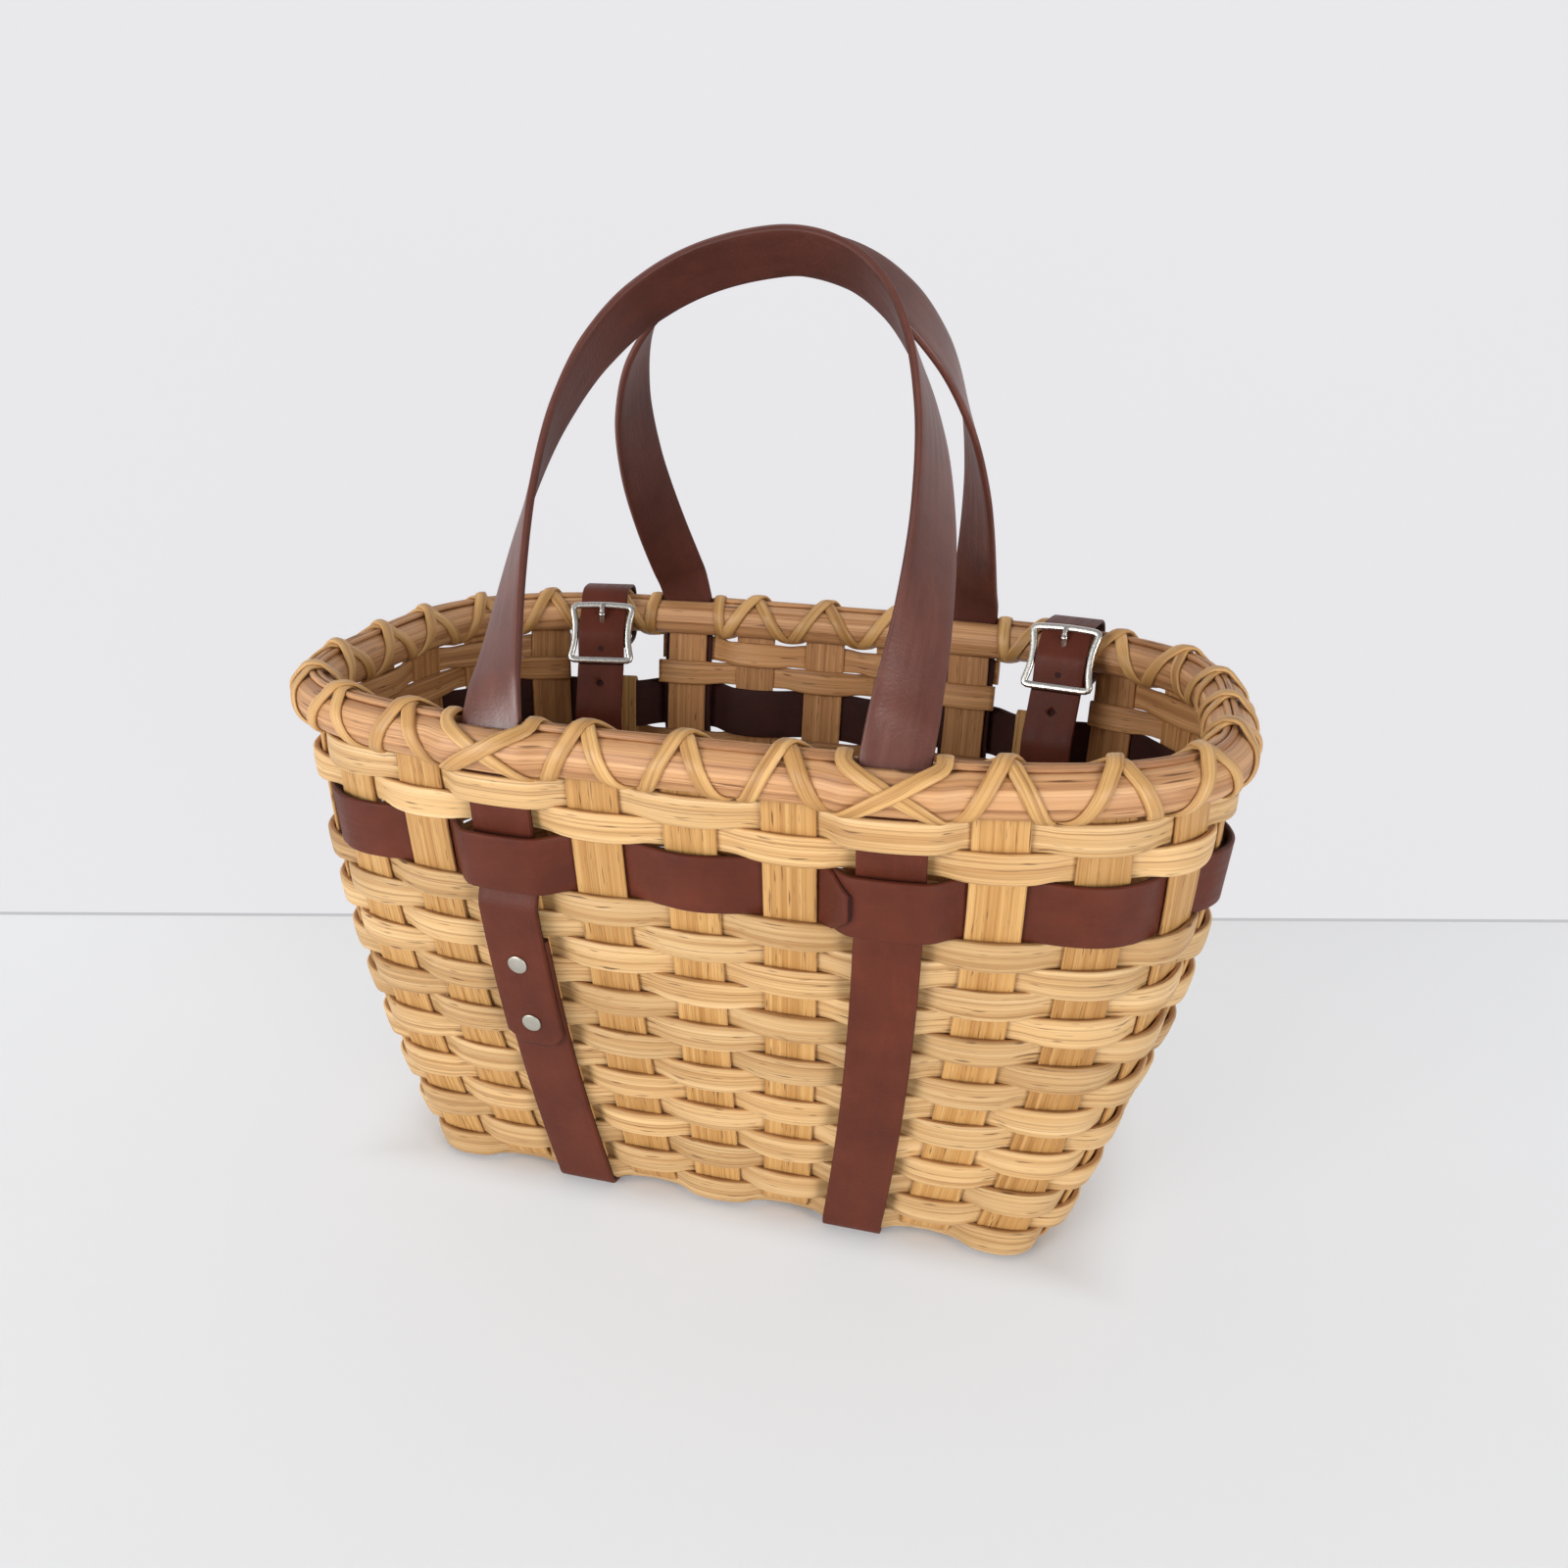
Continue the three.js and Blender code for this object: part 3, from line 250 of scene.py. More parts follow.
def wired(tree, kind, values=(), output=0, **settings):
    """One output of a new node with these inputs and settings."""
    node = tree.nodes.new("ShaderNode" + kind)
    for key, setting in settings.items():
        setattr(node, key, setting)
    feed(tree, node, values)
    return node.outputs[output]


def ramp(tree, value, *stops):
    """A colour for each value, from (place, colour) stops."""
    node = tree.nodes.new("ShaderNodeValToRGB")
    tree.links.new(value, node.inputs[0])
    bar = node.color_ramp.elements
    while len(bar) < len(stops):
        bar.new(0.5)
    for element, (place, colour) in zip(bar, stops):
        element.position = place
        element.color = colour
    return node.outputs[0]


def noise(tree, vector, detail, rough=0.55):
    return wired(tree, "TexNoise", {"Vector": vector, "Scale": 1, "Detail": detail, "Roughness": rough})


def stretched(tree, vector, *scales):
    return wired(tree, "VectorMath", [vector, scales], operation="MULTIPLY")


def grain_space(tree, along, across):
    """Grain coordinates with that many units to the metre along the strip and across it."""
    return stretched(tree, wired(tree, "UVMap", uv_map="grain"), along, across, 1)


def grain_noise(tree, along, across, detail, rough=0.55):
    return noise(tree, grain_space(tree, along, across), detail, rough)


def tinted(tree, share, colour, tint):
    """The colour multiplied by that share of a tint."""
    values = {0: share, 6: colour, 7: tint}
    return wired(tree, "Mix", values, output=2, data_type="RGBA", blend_type="MULTIPLY")


def finish(tree, shader, colour, wear, rough, height, strength, depth):
    """Gives the shader its colour, a roughness that follows the wear, and relief by the height."""
    gloss = wired(tree, "MapRange", [wear, 0.3, 0.7, *rough])
    relief = wired(tree, "Bump", {"Strength": strength, "Distance": depth, "Height": height})
    feed(tree, shader, {"Base Color": colour, "Roughness": gloss, "Normal": relief})


def reed(name, pale, mid, deep, fibre, lines, dashes, dash_waves, rough=(0.45, 0.62)):
    """Natural reed: long grooves, fine dark pores, and a tone of its own for each strip."""
    material, tree, shader = new_material(name)
    groove = grain_noise(tree, 4.0, fibre, 3.0, 0.6)
    broad = grain_noise(tree, 5.0, fibre * 0.25, 1.0)
    pore = grain_noise(tree, dash_waves, fibre * 0.62, 1.0)
    cloud = grain_noise(tree, 14.0, 40.0, 2.0)
    tone = wired(tree, "Attribute", attribute_name="tone", output="Fac")
    white = (1, 1, 1, 1)
    colour = ramp(tree, broad, (0.3, linear(*pale)), (0.5, linear(*mid)), (0.72, linear(*deep)))
    for share, value, *stops in (
        (lines, groove, (0.36, (0.55, 0.46, 0.36, 1)), (0.5, white)),
        (dashes, pore, (0.26, (0.2, 0.13, 0.08, 1)), (0.345, white)),
        (0.6, cloud, (0.3, (0.9, 0.85, 0.78, 1)), (0.65, (1.04, 1.04, 1.04, 1))),
        (1.0, tone, (0.0, (0.76, 0.7, 0.62, 1)), (0.5, white), (1.0, (1.15, 1.14, 1.12, 1))),
    ):
        colour = tinted(tree, share, colour, ramp(tree, value, *stops))
    height = wired(tree, "Math", [groove, pore], operation="ADD")
    finish(tree, shader, colour, groove, rough, height, 0.55, 0.0005)
    return material


def fitted(piece, body, slot, *nodes):
    """The piece rides on its body and stands for its nodes. The slot is not used."""
    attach(piece, body)
    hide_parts(*nodes)


# The second reed is a darker copy of the first for the stakes' inner faces: painted shade for the inside
# of the basket.
stake_reed_and_painted_shade = [
    reed("stake_reed", (212, 169, 108), (200, 153, 91), (180, 130, 70),
         fibre=1700.0, lines=0.6, dashes=0.85, dash_waves=80.0),
    reed("stake_reed_painted_shade_inside", (206, 156, 102), (192, 139, 85), (168, 115, 66),
         fibre=1700.0, lines=0.6, dashes=0.7, dash_waves=80.0),
]
stake_v, stake_edge = rounded_section(7, STAKE_ROUNDING)
stake_wide, stake_thick = stake_v * STAKE_WIDTH / 2, stake_edge * STAKE_THICK / 2


def wall_rows(k, sense):
    """Rows across a stake up the wall and their outward directions. Where the stake is folded, they
    go over its fold and down inside the wall again."""
    top = FOLD_Z if k in FOLDED else STAKE_TOP
    rows = []
    for z in np.linspace(BASE_Z + BASE_BEND, top, 40):
        p, up, out = on_wall(z, k, sense * stake_wide)
        rows.append((p, out))
    if k in FOLDED:
        for turn in np.linspace(0, math.pi, 9)[1:]:
            face = out * math.cos(turn) + up * math.sin(turn)
            rows.append((p + (face - out) * FOLD_DEPTH / 2, face))
        for z in np.linspace(top, top - TUCK, 9)[1:]:
            p, up, out = on_wall(z, k, sense * stake_wide)
            rows.append((p - out * FOLD_DEPTH, -out))
    return rows


def stake_rows(k_from, k_to, along, across, place, crossings):
    """Rows across a stake and their outward directions, from the top of one wall under the base to
    the top of the other. crossings holds where it passes over or under the others, as 1 or -1."""

    def base_row(at):
        gap = np.array([at - c for c, _ in crossings])
        near = int(np.argmin(np.abs(gap)))
        beside = near + (1 if gap[near] > 0 else -1)
        height = crossings[near][1]
        past = abs(gap[near]) - BASE_HOLD
        if 0 <= beside < len(crossings):
            pitch = abs(crossings[beside][0] - crossings[near][0])
            height += (crossings[beside][1] - height) * smooth_step(past / (pitch - 2 * BASE_HOLD))
        else:
            height *= 1 - smooth_step(past / BASE_FADE)
        row = along * at + across * (place + stake_wide)[:, None]
        return row - DOWN * (BASE_Z + BASE_RISE * height)

    def corner_rows(k, sense, side):
        low, _, out = on_wall(BASE_Z + BASE_BEND, k, sense * stake_wide)
        edge = on_wall(BASE_Z, k, sense * stake_wide)[0]
        inner = base_row(side * (abs(edge[len(edge) // 2] @ along) - BASE_BEND))
        turns = (0.2, 0.4, 0.6, 0.8)
        return [(curve([low, edge, inner], t), unit((1 - t) * out + t * DOWN)) for t in turns]

    senses = [float(np.sign(np.append(foot_runs[k], 0) @ across)) for k in (k_from, k_to)]
    half = abs(np.append(feet[k_from], 0) @ along) - BASE_BEND
    rows = wall_rows(k_from, senses[0])[::-1] + corner_rows(k_from, senses[0], -1)
    for at in np.linspace(-half, half, int(2 * half / 3)):
        rows.append((base_row(at), np.broadcast_to(DOWN, (len(stake_v), 3))))
    rows += corner_rows(k_to, senses[1], 1)[::-1] + wall_rows(k_to, senses[1])
    return np.array([p for p, _ in rows]), np.array([face for _, face in rows])


chance = random.Random(7)
to_right, to_back = np.array([1.0, 0, 0]), np.array([0, 1.0, 0])
stakes = []
for j in CROSS:
    crossings = [(m * LONG_PITCH, 1 if (j + m) % 2 == 0 else -1) for m in LONG]
    lie = (j % STAKES, BACK - j, to_back, to_right, j * CROSS_PITCH, crossings)
    stakes.append((f"cross_stake_{j + 5}", lie))
for m in LONG:
    crossings = [(j * CROSS_PITCH, -1 if (j + m) % 2 == 0 else 1) for j in CROSS]
    lie = (LEFT - m, RIGHT + m, to_right, to_back, m * LONG_PITCH, crossings)
    stakes.append((f"long_stake_{m + 3}", lie))
for name, lie in stakes:
    middle, faces = stake_rows(*lie)
    tone = chance.uniform(0.3, 0.75)
    piece = strip(f"reed_{name}", middle, faces, stake_thick, stake_thick, stake_reed_and_painted_shade, tone)
    fitted(piece, "basket", "reed_stake", name)

# Weavers: rows of flat oval reed, one length to a row, pushed down hard on the row below.
# Each goes outside one stake and inside the next, and bows a little over each.
# The two rows above the band stop at the windows for the rim straps.
REED_WIDTH, REED_THICK, REED_SPREAD, REED_ROUNDING = 11.1, 2.2, 1.5, 0.11
FIRST_ROW, ROW_PITCH, ROWS = 8.6, 11.06, 14
FIRST_TOP_ROW, TOP_PITCH, TOP_PAINTED_LIGHT = 189.2, 11.4, 0.4
ROW_BOW, HELD_BOW, STRAP_BOW = 1.15, 0.4, 1.0
ROW_WANDER, ROW_LEAN, TONE_DRIFT = 0.22, 0.035, 0.13
CLEAR = 0.3
STRAPPED = (2, BACK - 2, BACK + 2, STAKES - 2)
STRAP_WIDTH, STRAP_THICK = 25.4, 3.0
STAKE_FLAT, STRAP_FLAT = STAKE_WIDTH / 2 - 0.8, STRAP_WIDTH / 2 + 0.3
WEAVE_STEPS = 14


def girth(z):
    return ring(z)[-1][-1]


def woven(z, k_from, lies, start, stop, steps):
    """Lengths along the ring at height z and offsets from the wall, for a strip past some stakes.
    lies holds its offset at each stake, how long it lies flat there and how far it bows over it.
    It crosses the wall in between."""
    k_to = k_from + len(lies) - 1

    def unrolled(k):
        return stake_at(z, k) + girth(z) * (k // STAKES)

    at = np.linspace(unrolled(k_from) + start, unrolled(k_to) + stop, steps)
    places = np.array([unrolled(k) for k in range(k_from - 1, k_to + 2)])
    offset, flat, high = (np.pad(values, 1, mode="edge") for values in np.array(lies).T)
    i = np.clip(np.searchsorted(places, at) - 1, 0, len(places) - 2)
    gap = places[i + 1] - places[i] - flat[i] - flat[i + 1]
    share = smooth_step((at - places[i] - flat[i]) / np.maximum(gap, 3))
    out = offset[i] + (offset[i + 1] - offset[i]) * share
    near = np.where(at - places[i] < places[i + 1] - at, i, i + 1)
    bow = np.maximum(1 - ((at - places[near]) / (flat[near] + 1)) ** 2, 0)
    return at, out + np.sign(out) * bow * high[near]


def wander(at, total, seed, size):
    """A slow rise and fall along a strip, the same at both ends of a closed ring."""
    luck = random.Random(seed)
    rise = np.zeros(len(at))
    for waves in (3, 5, 8, 13, 19):
        rise += size / waves**0.5 * np.sin(2 * math.pi * waves * at / total + luck.uniform(0, 6.3))
    return rise


def ribbon(name, line, flat, half, normal, section, materials, tone=0.5, closed=False):
    """A strip along a line, half that wide to each side of it in the flat direction. Its section is
    places across it from -1 to 1, and its thickness there on the two faces."""
    v, top, bottom = section
    half = np.broadcast_to(half, len(line))
    flat, normal = np.broadcast_to(flat, line.shape), np.broadcast_to(normal, line.shape)
    grid = line[:, None] + flat[:, None] * (v[None, :, None] * half[:, None, None])
    return strip(name, grid, normal, top, bottom, materials, tone, closed)


def woven_strip(name, z, at, out, half, section, materials, seed, tone, closed=False):
    """A woven strip as a mesh: it keeps its height as it goes in and out, but for a slight wander."""
    p, up, away = on_ring(z, at)
    rise = wander(at, girth(z), seed, ROW_WANDER) - out * away[:, 2] / up[:, 2]
    middle = p + away * out[:, None] + up * rise[:, None]
    lean = wander(at, girth(z), seed + 50, ROW_LEAN)[:, None]
    flat, face = up + away * lean, away - up * lean
    run = np.gradient(middle, axis=0)
    if closed:
        run = np.roll(middle, -1, 0) - np.roll(middle, 1, 0)
    normal = unit(np.cross(unit(run), flat))
    normal = normal * np.sign(np.sum(normal * face, 1, keepdims=True))
    return ribbon(name, middle, flat, half, normal, section, materials, tone, closed)


# The second reed is a darker copy of the first for the weavers' inner faces: painted shade for the inside
# of the basket.
weaver_reed_and_painted_shade = [
    reed("weaver_reed", (217, 183, 134), (206, 168, 116), (184, 142, 90),
         fibre=1150.0, lines=0.75, dashes=0.8, dash_waves=75.0),
    reed("weaver_reed_painted_shade_inside", (206, 158, 108), (188, 139, 89), (163, 113, 68),
         fibre=1150.0, lines=0.75, dashes=0.8, dash_waves=75.0),
]
weaver_v, weaver_edge = rounded_section(7, REED_ROUNDING)
weaver_top = (REED_THICK / 2 + 0.1) * weaver_edge * (1 - 0.24 * weaver_v**2)
weaver_section = weaver_v, weaver_top, (REED_THICK / 2 + 0.6) * weaver_edge
resting = STAKE_THICK / 2 + CLEAR + REED_THICK / 2


def reed_tone(at, z, seed):
    """Tone along a row: each row has its own, and drifts slowly along its length."""
    base = random.Random(seed).uniform(0.22, 0.82)
    return np.clip(base + wander(at, girth(z), seed + 9, TONE_DRIFT), 0, 1)


def reed_row(name, z, at, out, seed, tone, closed):
    """A row is squeezed where it crosses the wall, and spreads where it lies against a stake."""
    spread = REED_WIDTH + REED_SPREAD * smooth_step(np.abs(out) / (resting + 0.6))
    piece = woven_strip(f"reed_{name}", z, at, out, spread / 2, weaver_section, weaver_reed_and_painted_shade,
                        seed, tone, closed)
    fitted(piece, "basket", "reed_weaver", name)


for row in range(ROWS):
    z = FIRST_ROW + row * ROW_PITCH
    lies = []
    for k in range(BACK, BACK + STAKES + 1):
        bow = HELD_BOW if k % STAKES in STRAPPED + FOLDED else ROW_BOW
        lies.append((resting if (k + row) % 2 == 0 else -resting, STAKE_FLAT, bow))
    at, out = woven(z, BACK, lies, 0, 0, STAKES * WEAVE_STEPS + 1)
    tone = reed_tone(at[:-1], z, 100 + row)
    reed_row(f"weaver_{row + 1}", z, at[:-1], out[:-1], 200 + row, tone, True)

window_right, window_left = FOLDED
top_runs = (("front", window_left + 1 - STAKES, window_right - 1, 0.0, 5),
            ("rear", window_right + 1, window_left - 1, 4.0, 4))
for row in range(2):
    z = FIRST_TOP_ROW + row * TOP_PITCH
    course = ROWS + 1 + row
    for place, k_from, k_to, stub, luck in top_runs:
        lies = []
        for k in range(k_from, k_to + 1):
            if (k + course) % 2:
                lies.append((-resting, STAKE_FLAT, ROW_BOW))
            elif k % STAKES in STRAPPED:
                lies.append((resting + STRAP_THICK + CLEAR, STRAP_FLAT, STRAP_BOW))
            else:
                lies.append((resting, STAKE_FLAT, ROW_BOW))
        reach = STAKE_WIDTH / 2 + 0.4 + stub
        at, out = woven(z, k_from, lies, -reach, reach, (k_to - k_from) * WEAVE_STEPS + 9)
        # The two top rows get a lighter tone: painted light, standing in for the stronger light on them.
        tone = reed_tone(at, z, 130 + 2 * row + luck) + TOP_PAINTED_LIGHT
        reed_row(f"top_weaver_{place}_{row + 1}", z, at, out, 230 + row + luck, tone, False)

# Leather band: one strip of dark brown leather woven in as if it were a row of reed.
# It runs once round, over the carry straps. Its clipped end comes out beside the right strap
# and lies on the band's other end. The outer face is waxed, the inner one is the flesh side,
# darkened further as painted shade.
BAND_WIDTH, BAND_THICK, BAND_Z = 25.0, 2.4, 170.6
BAND_LIFT, RIVETED_LIFT = 1.3, 1.1
BAND_BOW, BAND_HELD_BOW, BAND_STEPS = 1.5, 0.8, 16
BAND_START, LAP_STOP, LAP_CLIP = 10.8, 13.4, 7.5
BAND_FROM, BAND_TO = 1, STAKES + 2
RIVETED = STRAPPED[-1]
LEATHER_ROUNDING = 0.05


def leather(name, lit, deep, rough=(0.42, 0.58), grain=0.22, sheen=0.2):
    """Dyed leather: fine pebbled grain, cloudy colour, faint scuffs along the strip."""
    material, tree, shader = new_material(name)
    cloud = grain_noise(tree, 38.0, 38.0, 4.0, 0.6)
    scuff = grain_noise(tree, 30.0, 420.0, 3.0, 0.6)
    colour = ramp(tree, cloud, (0.3, linear(*deep)), (0.68, linear(*lit)))
    worn = ramp(tree, scuff, (0.5, (1, 1, 1, 1)), (0.72, (1.35, 1.28, 1.24, 1)))
    colour = tinted(tree, 0.35, colour, worn)
    feed(tree, shader, {"Specular IOR Level": sheen})
    pebbles = {"Vector": grain_space(tree, 1100.0, 1100.0), "Scale": 1}
    pebbles = wired(tree, "TexVoronoi", pebbles, output="Distance", feature="SMOOTH_F1")
    dents = grain_noise(tree, 130.0, 130.0, 3.0)
    height = wired(tree, "Math", [pebbles, dents], operation="ADD")
    finish(tree, shader, colour, scuff, rough, height, grain, 0.0004)
    return material


grain_side = leather("leather_grain_side", (98, 46, 31), (80, 36, 24))
# The flesh side is darker leather, and darker still as painted shade for where it lies inside the basket.
flesh_side_and_painted_shade = leather("leather_flesh_and_painted_shade", (64, 33, 28), (48, 25, 22), rough=(0.62, 0.8), grain=0.5)
leather_and_painted_shade = [grain_side, flesh_side_and_painted_shade]
leather_v, leather_edge = rounded_section(9, LEATHER_ROUNDING)
band_section = leather_v, BAND_THICK / 2 * leather_edge, BAND_THICK / 2 * leather_edge

lies = []
for k in range(BAND_FROM, BAND_TO + 1):
    offset = (1 if k % 2 == 0 else -1) * (STAKE_THICK / 2 + CLEAR + BAND_THICK / 2)
    offset += STRAP_THICK + CLEAR + BAND_LIFT if k % STAKES in STRAPPED else 0
    offset += RIVETED_LIFT if k == RIVETED else 0
    offset -= BAND_THICK + CLEAR if k == BAND_FROM else 0
    offset += BAND_THICK + CLEAR if k == BAND_TO else 0
    flat = STRAP_FLAT if k % STAKES in STRAPPED else STAKE_FLAT
    lies.append((offset, flat, BAND_HELD_BOW if k % STAKES in STRAPPED + FOLDED else BAND_BOW))
at, out = woven(BAND_Z, BAND_FROM, lies, -BAND_START, -LAP_STOP, BAND_TO * BAND_STEPS)
half = BAND_WIDTH / 2 - LAP_CLIP * np.clip(1 - (at[-1] - at) / LAP_CLIP, 0, 1)
piece = woven_strip("woven_leather_band", BAND_Z, at, out, half, band_section, leather_and_painted_shade, 260, 0.4)
fitted(piece, "basket", "leather", "leather_band")

# Rim: two half-round reeds clamp the stake tops between them, flat faces inwards.
# The outer one swells over the carry straps. Two thin round reeds fill the groove on top.
RIM_HIGH, RIM_DEEP, RIM_ROUND, RIM_STEPS = 17.4, 8.4, 2.3, 480
SWELL_FLAT, SWELL_FADE = 14.0, 12.0
FILLER_RADIUS, FILLER_RISE, FILLER_STOP = 1.3, 9.6, 17.5
FILLER_ASIDE = 1.05 * FILLER_RADIUS
rim_reed = reed("rim_reed", (216, 168, 120), (200, 149, 102), (168, 118, 76),
                fibre=1400.0, lines=0.65, dashes=0.8, dash_waves=45.0, rough=(0.4, 0.55))
rim_length = girth(RIM_Z)
rim_pitch = rim_length / STAKES


def rim_swell(at):
    """How far the outer rim stands out over the carry straps."""
    swell = np.zeros(np.shape(at))
    for k in STRAPPED:
        gap = np.abs((at - stake_at(RIM_Z, k) + rim_length / 2) % rim_length - rim_length / 2)
        fade = smooth_step((gap - SWELL_FLAT) / SWELL_FADE)
        swell = np.maximum(swell, (STRAP_THICK + CLEAR) * (1 - fade))
    return swell


seat = STAKE_THICK / 2 + CLEAR
rim_v = np.sin(np.linspace(-math.pi / 2, math.pi / 2, 15))
rim_round = RIM_DEEP * np.sqrt(np.maximum(1 - np.abs(rim_v) ** RIM_ROUND, 0))
for name, side, begin, seed in (("outer_rim", 1, rim_length / 2, 300), ("inner_rim", -1, 0, 310)):
    at = begin + np.linspace(0, rim_length, RIM_STEPS + 1)[:-1]
    p, up, out = on_ring(RIM_Z, at)
    away = side * (seat + (rim_swell(at) if side > 0 else np.zeros(len(at))))
    line = p + out * away[:, None] + up * wander(at, rim_length, seed, 0.2)[:, None]
    tone = 0.5 + wander(at, rim_length, seed + 3, 0.08)
    piece = ribbon(f"half_round_{name}", line, up, RIM_HIGH / 2, side * out, (rim_v, rim_round, 0.0),
                   [rim_reed], tone, True)
    fitted(piece, "basket", "rim_reed", name)


def tube(name, line, radius, materials, tone=0.5):
    """A round strand along a line of points."""
    run = unit(np.gradient(line, axis=0))
    side = unit(np.cross(run, -DOWN))
    v = np.cos(np.linspace(math.pi, 0, 6))
    lift = np.broadcast_to(radius, len(line))[:, None] * np.sqrt(np.maximum(1 - v**2, 0))
    return ribbon(name, line, side, radius, np.cross(side, run), (v, lift, lift), materials, tone)


def together(name, pieces):
    """Several meshes as one piece."""
    bpy.ops.object.select_all(action="DESELECT")
    for piece in pieces:
        piece.select_set(True)
    bpy.context.view_layer.objects.active = pieces[0]
    bpy.ops.object.join()
    pieces[0].name = name
    pieces[0].data.name = name
    return pieces[0]


ends = STRAPPED[1:] + (STRAPPED[0] + STAKES,)
for name, k_from, k_to in zip(("right", "rear", "left", "front"), STRAPPED, ends):
    start, stop = k_from * rim_pitch + FILLER_STOP, k_to * rim_pitch - FILLER_STOP
    at = np.linspace(start, stop, int((stop - start) / 3))
    p, up, out = on_ring(RIM_Z, at)
    strands = []
    for side in (-1, 1):
        rise = FILLER_RISE + wander(at, rim_length, 320 + k_from + side, 0.2)
        line = p + up * rise[:, None] + out * (side * FILLER_ASIDE)
        strands.append(tube("strand", line, FILLER_RADIUS, [rim_reed], 0.35 + 0.15 * side))
    piece = together(f"rim_filler_strands_{name}", strands)
    fitted(piece, "basket", "rim_reed", f"rim_filler_{name}")

# Lashing: two long strands of split reed bind the rim, one wound each way round.
# They cross on top of every stake and under every gap, and step to the sides of the carry straps.
LASH_WIDTH, LASH_THICK, LASH_CROWN, LASH_ROUNDING = 6.0, 1.2, 1.15, 0.25
LASH_SHIFT, LASH_STRAP_SHIFT, LASH_GAP = 2.7, 17.0, 0.15
LASH_STEPS, OUTLINE_STEPS = 40, 120
lash_reed = reed("lash_reed", (220, 176, 116), (203, 157, 97), (172, 124, 70),
                 fibre=1300.0, lines=0.5, dashes=0.35, dash_waves=40.0, rough=(0.36, 0.52))


def bound_outline(swell):
    """The outline of a strand's middle round the rim in cross-section, from the top by the outside."""
    rise = rim_v * RIM_HIGH / 2
    outer = np.stack([seat + swell + rim_round, rise], 1)
    inner = np.stack([-seat - rim_round, rise], 1)
    turn = np.linspace(0, 2 * math.pi, 25)[:-1]
    circle = np.stack([np.cos(turn), np.sin(turn)], 1)
    fill = [[side * FILLER_ASIDE, FILLER_RISE] + FILLER_RADIUS * circle for side in (-1, 1)]
    cloud = np.concatenate([outer, inner, *fill])
    points = (cloud[:, None] + LASH_THICK / 2 * circle).reshape(-1, 2)
    normal = np.linspace(math.pi / 2, -1.5 * math.pi, 241)
    ways = np.stack([np.cos(normal), np.sin(normal)], 1)
    hull = points[np.argmax(points @ ways.T, 0)]
    length = lengths(hull)
    line = between(np.linspace(0, length[-1], OUTLINE_STEPS + 1), length, hull)
    for _ in range(3):
        line[1:-1] = 0.5 * line[1:-1] + 0.25 * (line[2:] + line[:-2])
    return line


narrow_outline, swollen_outline = bound_outline(0.0), bound_outline(STRAP_THICK + CLEAR)


def lash_line(sense):
    """One strand, from the middle of the back once round: its middle line and its outward faces.
    The strand that goes inside first lies over the other where they cross."""
    share = np.arange(STAKES * LASH_STEPS + 1) / LASH_STEPS
    k = np.minimum(np.floor(share), STAKES - 1).astype(int)
    f = share - k
    rising = f > 0.5
    top = k + BACK + rising
    strapped = np.isin(top % STAKES, STRAPPED)
    outside = np.where(rising, -sense, sense) > 0
    high = top * rim_pitch - sense * LASH_STRAP_SHIFT * strapped
    low = (k + BACK + 0.5) * rim_pitch - sense * LASH_SHIFT
    down = np.where(rising, 2 - 2 * f, 2 * f)
    at = high + (low - high) * np.where(strapped & outside, smooth_step((down - 0.12) / 0.76), down)
    p, up, out = on_ring(RIM_Z, at)
    turn = (f if sense > 0 else 1 - f) * OUTLINE_STEPS
    steps = np.arange(OUTLINE_STEPS + 1)
    narrow, swollen = (between(turn, steps, outline) for outline in (narrow_outline, swollen_outline))
    place = narrow + (swollen - narrow) * (rim_swell(at) / (STRAP_THICK + CLEAR))[:, None]
    ahead, past = (between((turn + step) % OUTLINE_STEPS, steps, narrow_outline) for step in (1, -1))
    run = ahead - past
    normal = unit(up * run[:, :1] - out * run[:, 1:])
    line = p + out * place[:, :1] + up * place[:, 1:]
    if sense < 0:
        crossing = np.where(strapped, np.where(outside, np.abs(down - 0.5), 1), down)
        lift = (LASH_THICK + LASH_GAP) * (1 - smooth_step((crossing - 0.1) / 0.28))
        line = line + normal * lift[:, None]
    return line, normal


lash_v, lash_edge = rounded_section(5, LASH_ROUNDING)
lash_section = lash_v, LASH_CROWN * lash_edge * (1 - 0.5 * lash_v**2), LASH_THICK / 2 * lash_edge
for name, sense in (("lashing_under", 1), ("lashing_over", -1)):
    line, normal = lash_line(sense)
    run = unit(np.gradient(line, axis=0))
    flat = unit(np.cross(run, normal))
    length = lengths(line)
    half = LASH_WIDTH / 2 * (1 + wander(length, length[-1], 340 + sense, 0.05))
    tone = 0.5 + wander(length, length[-1], 350 + sense, 0.16)
    piece = ribbon(f"split_reed_{name}", line, flat, half, np.cross(flat, run), lash_section,
                   [lash_reed], tone)
    fitted(piece, "basket", "rim_reed", name)

# Carry straps: two strips of bridle leather that go down the front, under the base and up the back.
# They lie over the reed rows, dip under the band and the top row, and pass into the rim.
# The left one is lapped on the front, its end cut with clipped corners, and riveted.
ON_ROWS, ON_STAKE = 5.19, 2.69
DIP_FROM, DIP_TO = 151.0, 164.5
UNDER_END, LAP_END, STRAP_CLIP = 139.0, 84.8, 6.0
EDGE_BEND, EDGE_FROM = 7.0, 9.0
strap_wide, strap_thick = leather_v * STRAP_WIDTH / 2, leather_edge * STRAP_THICK / 2


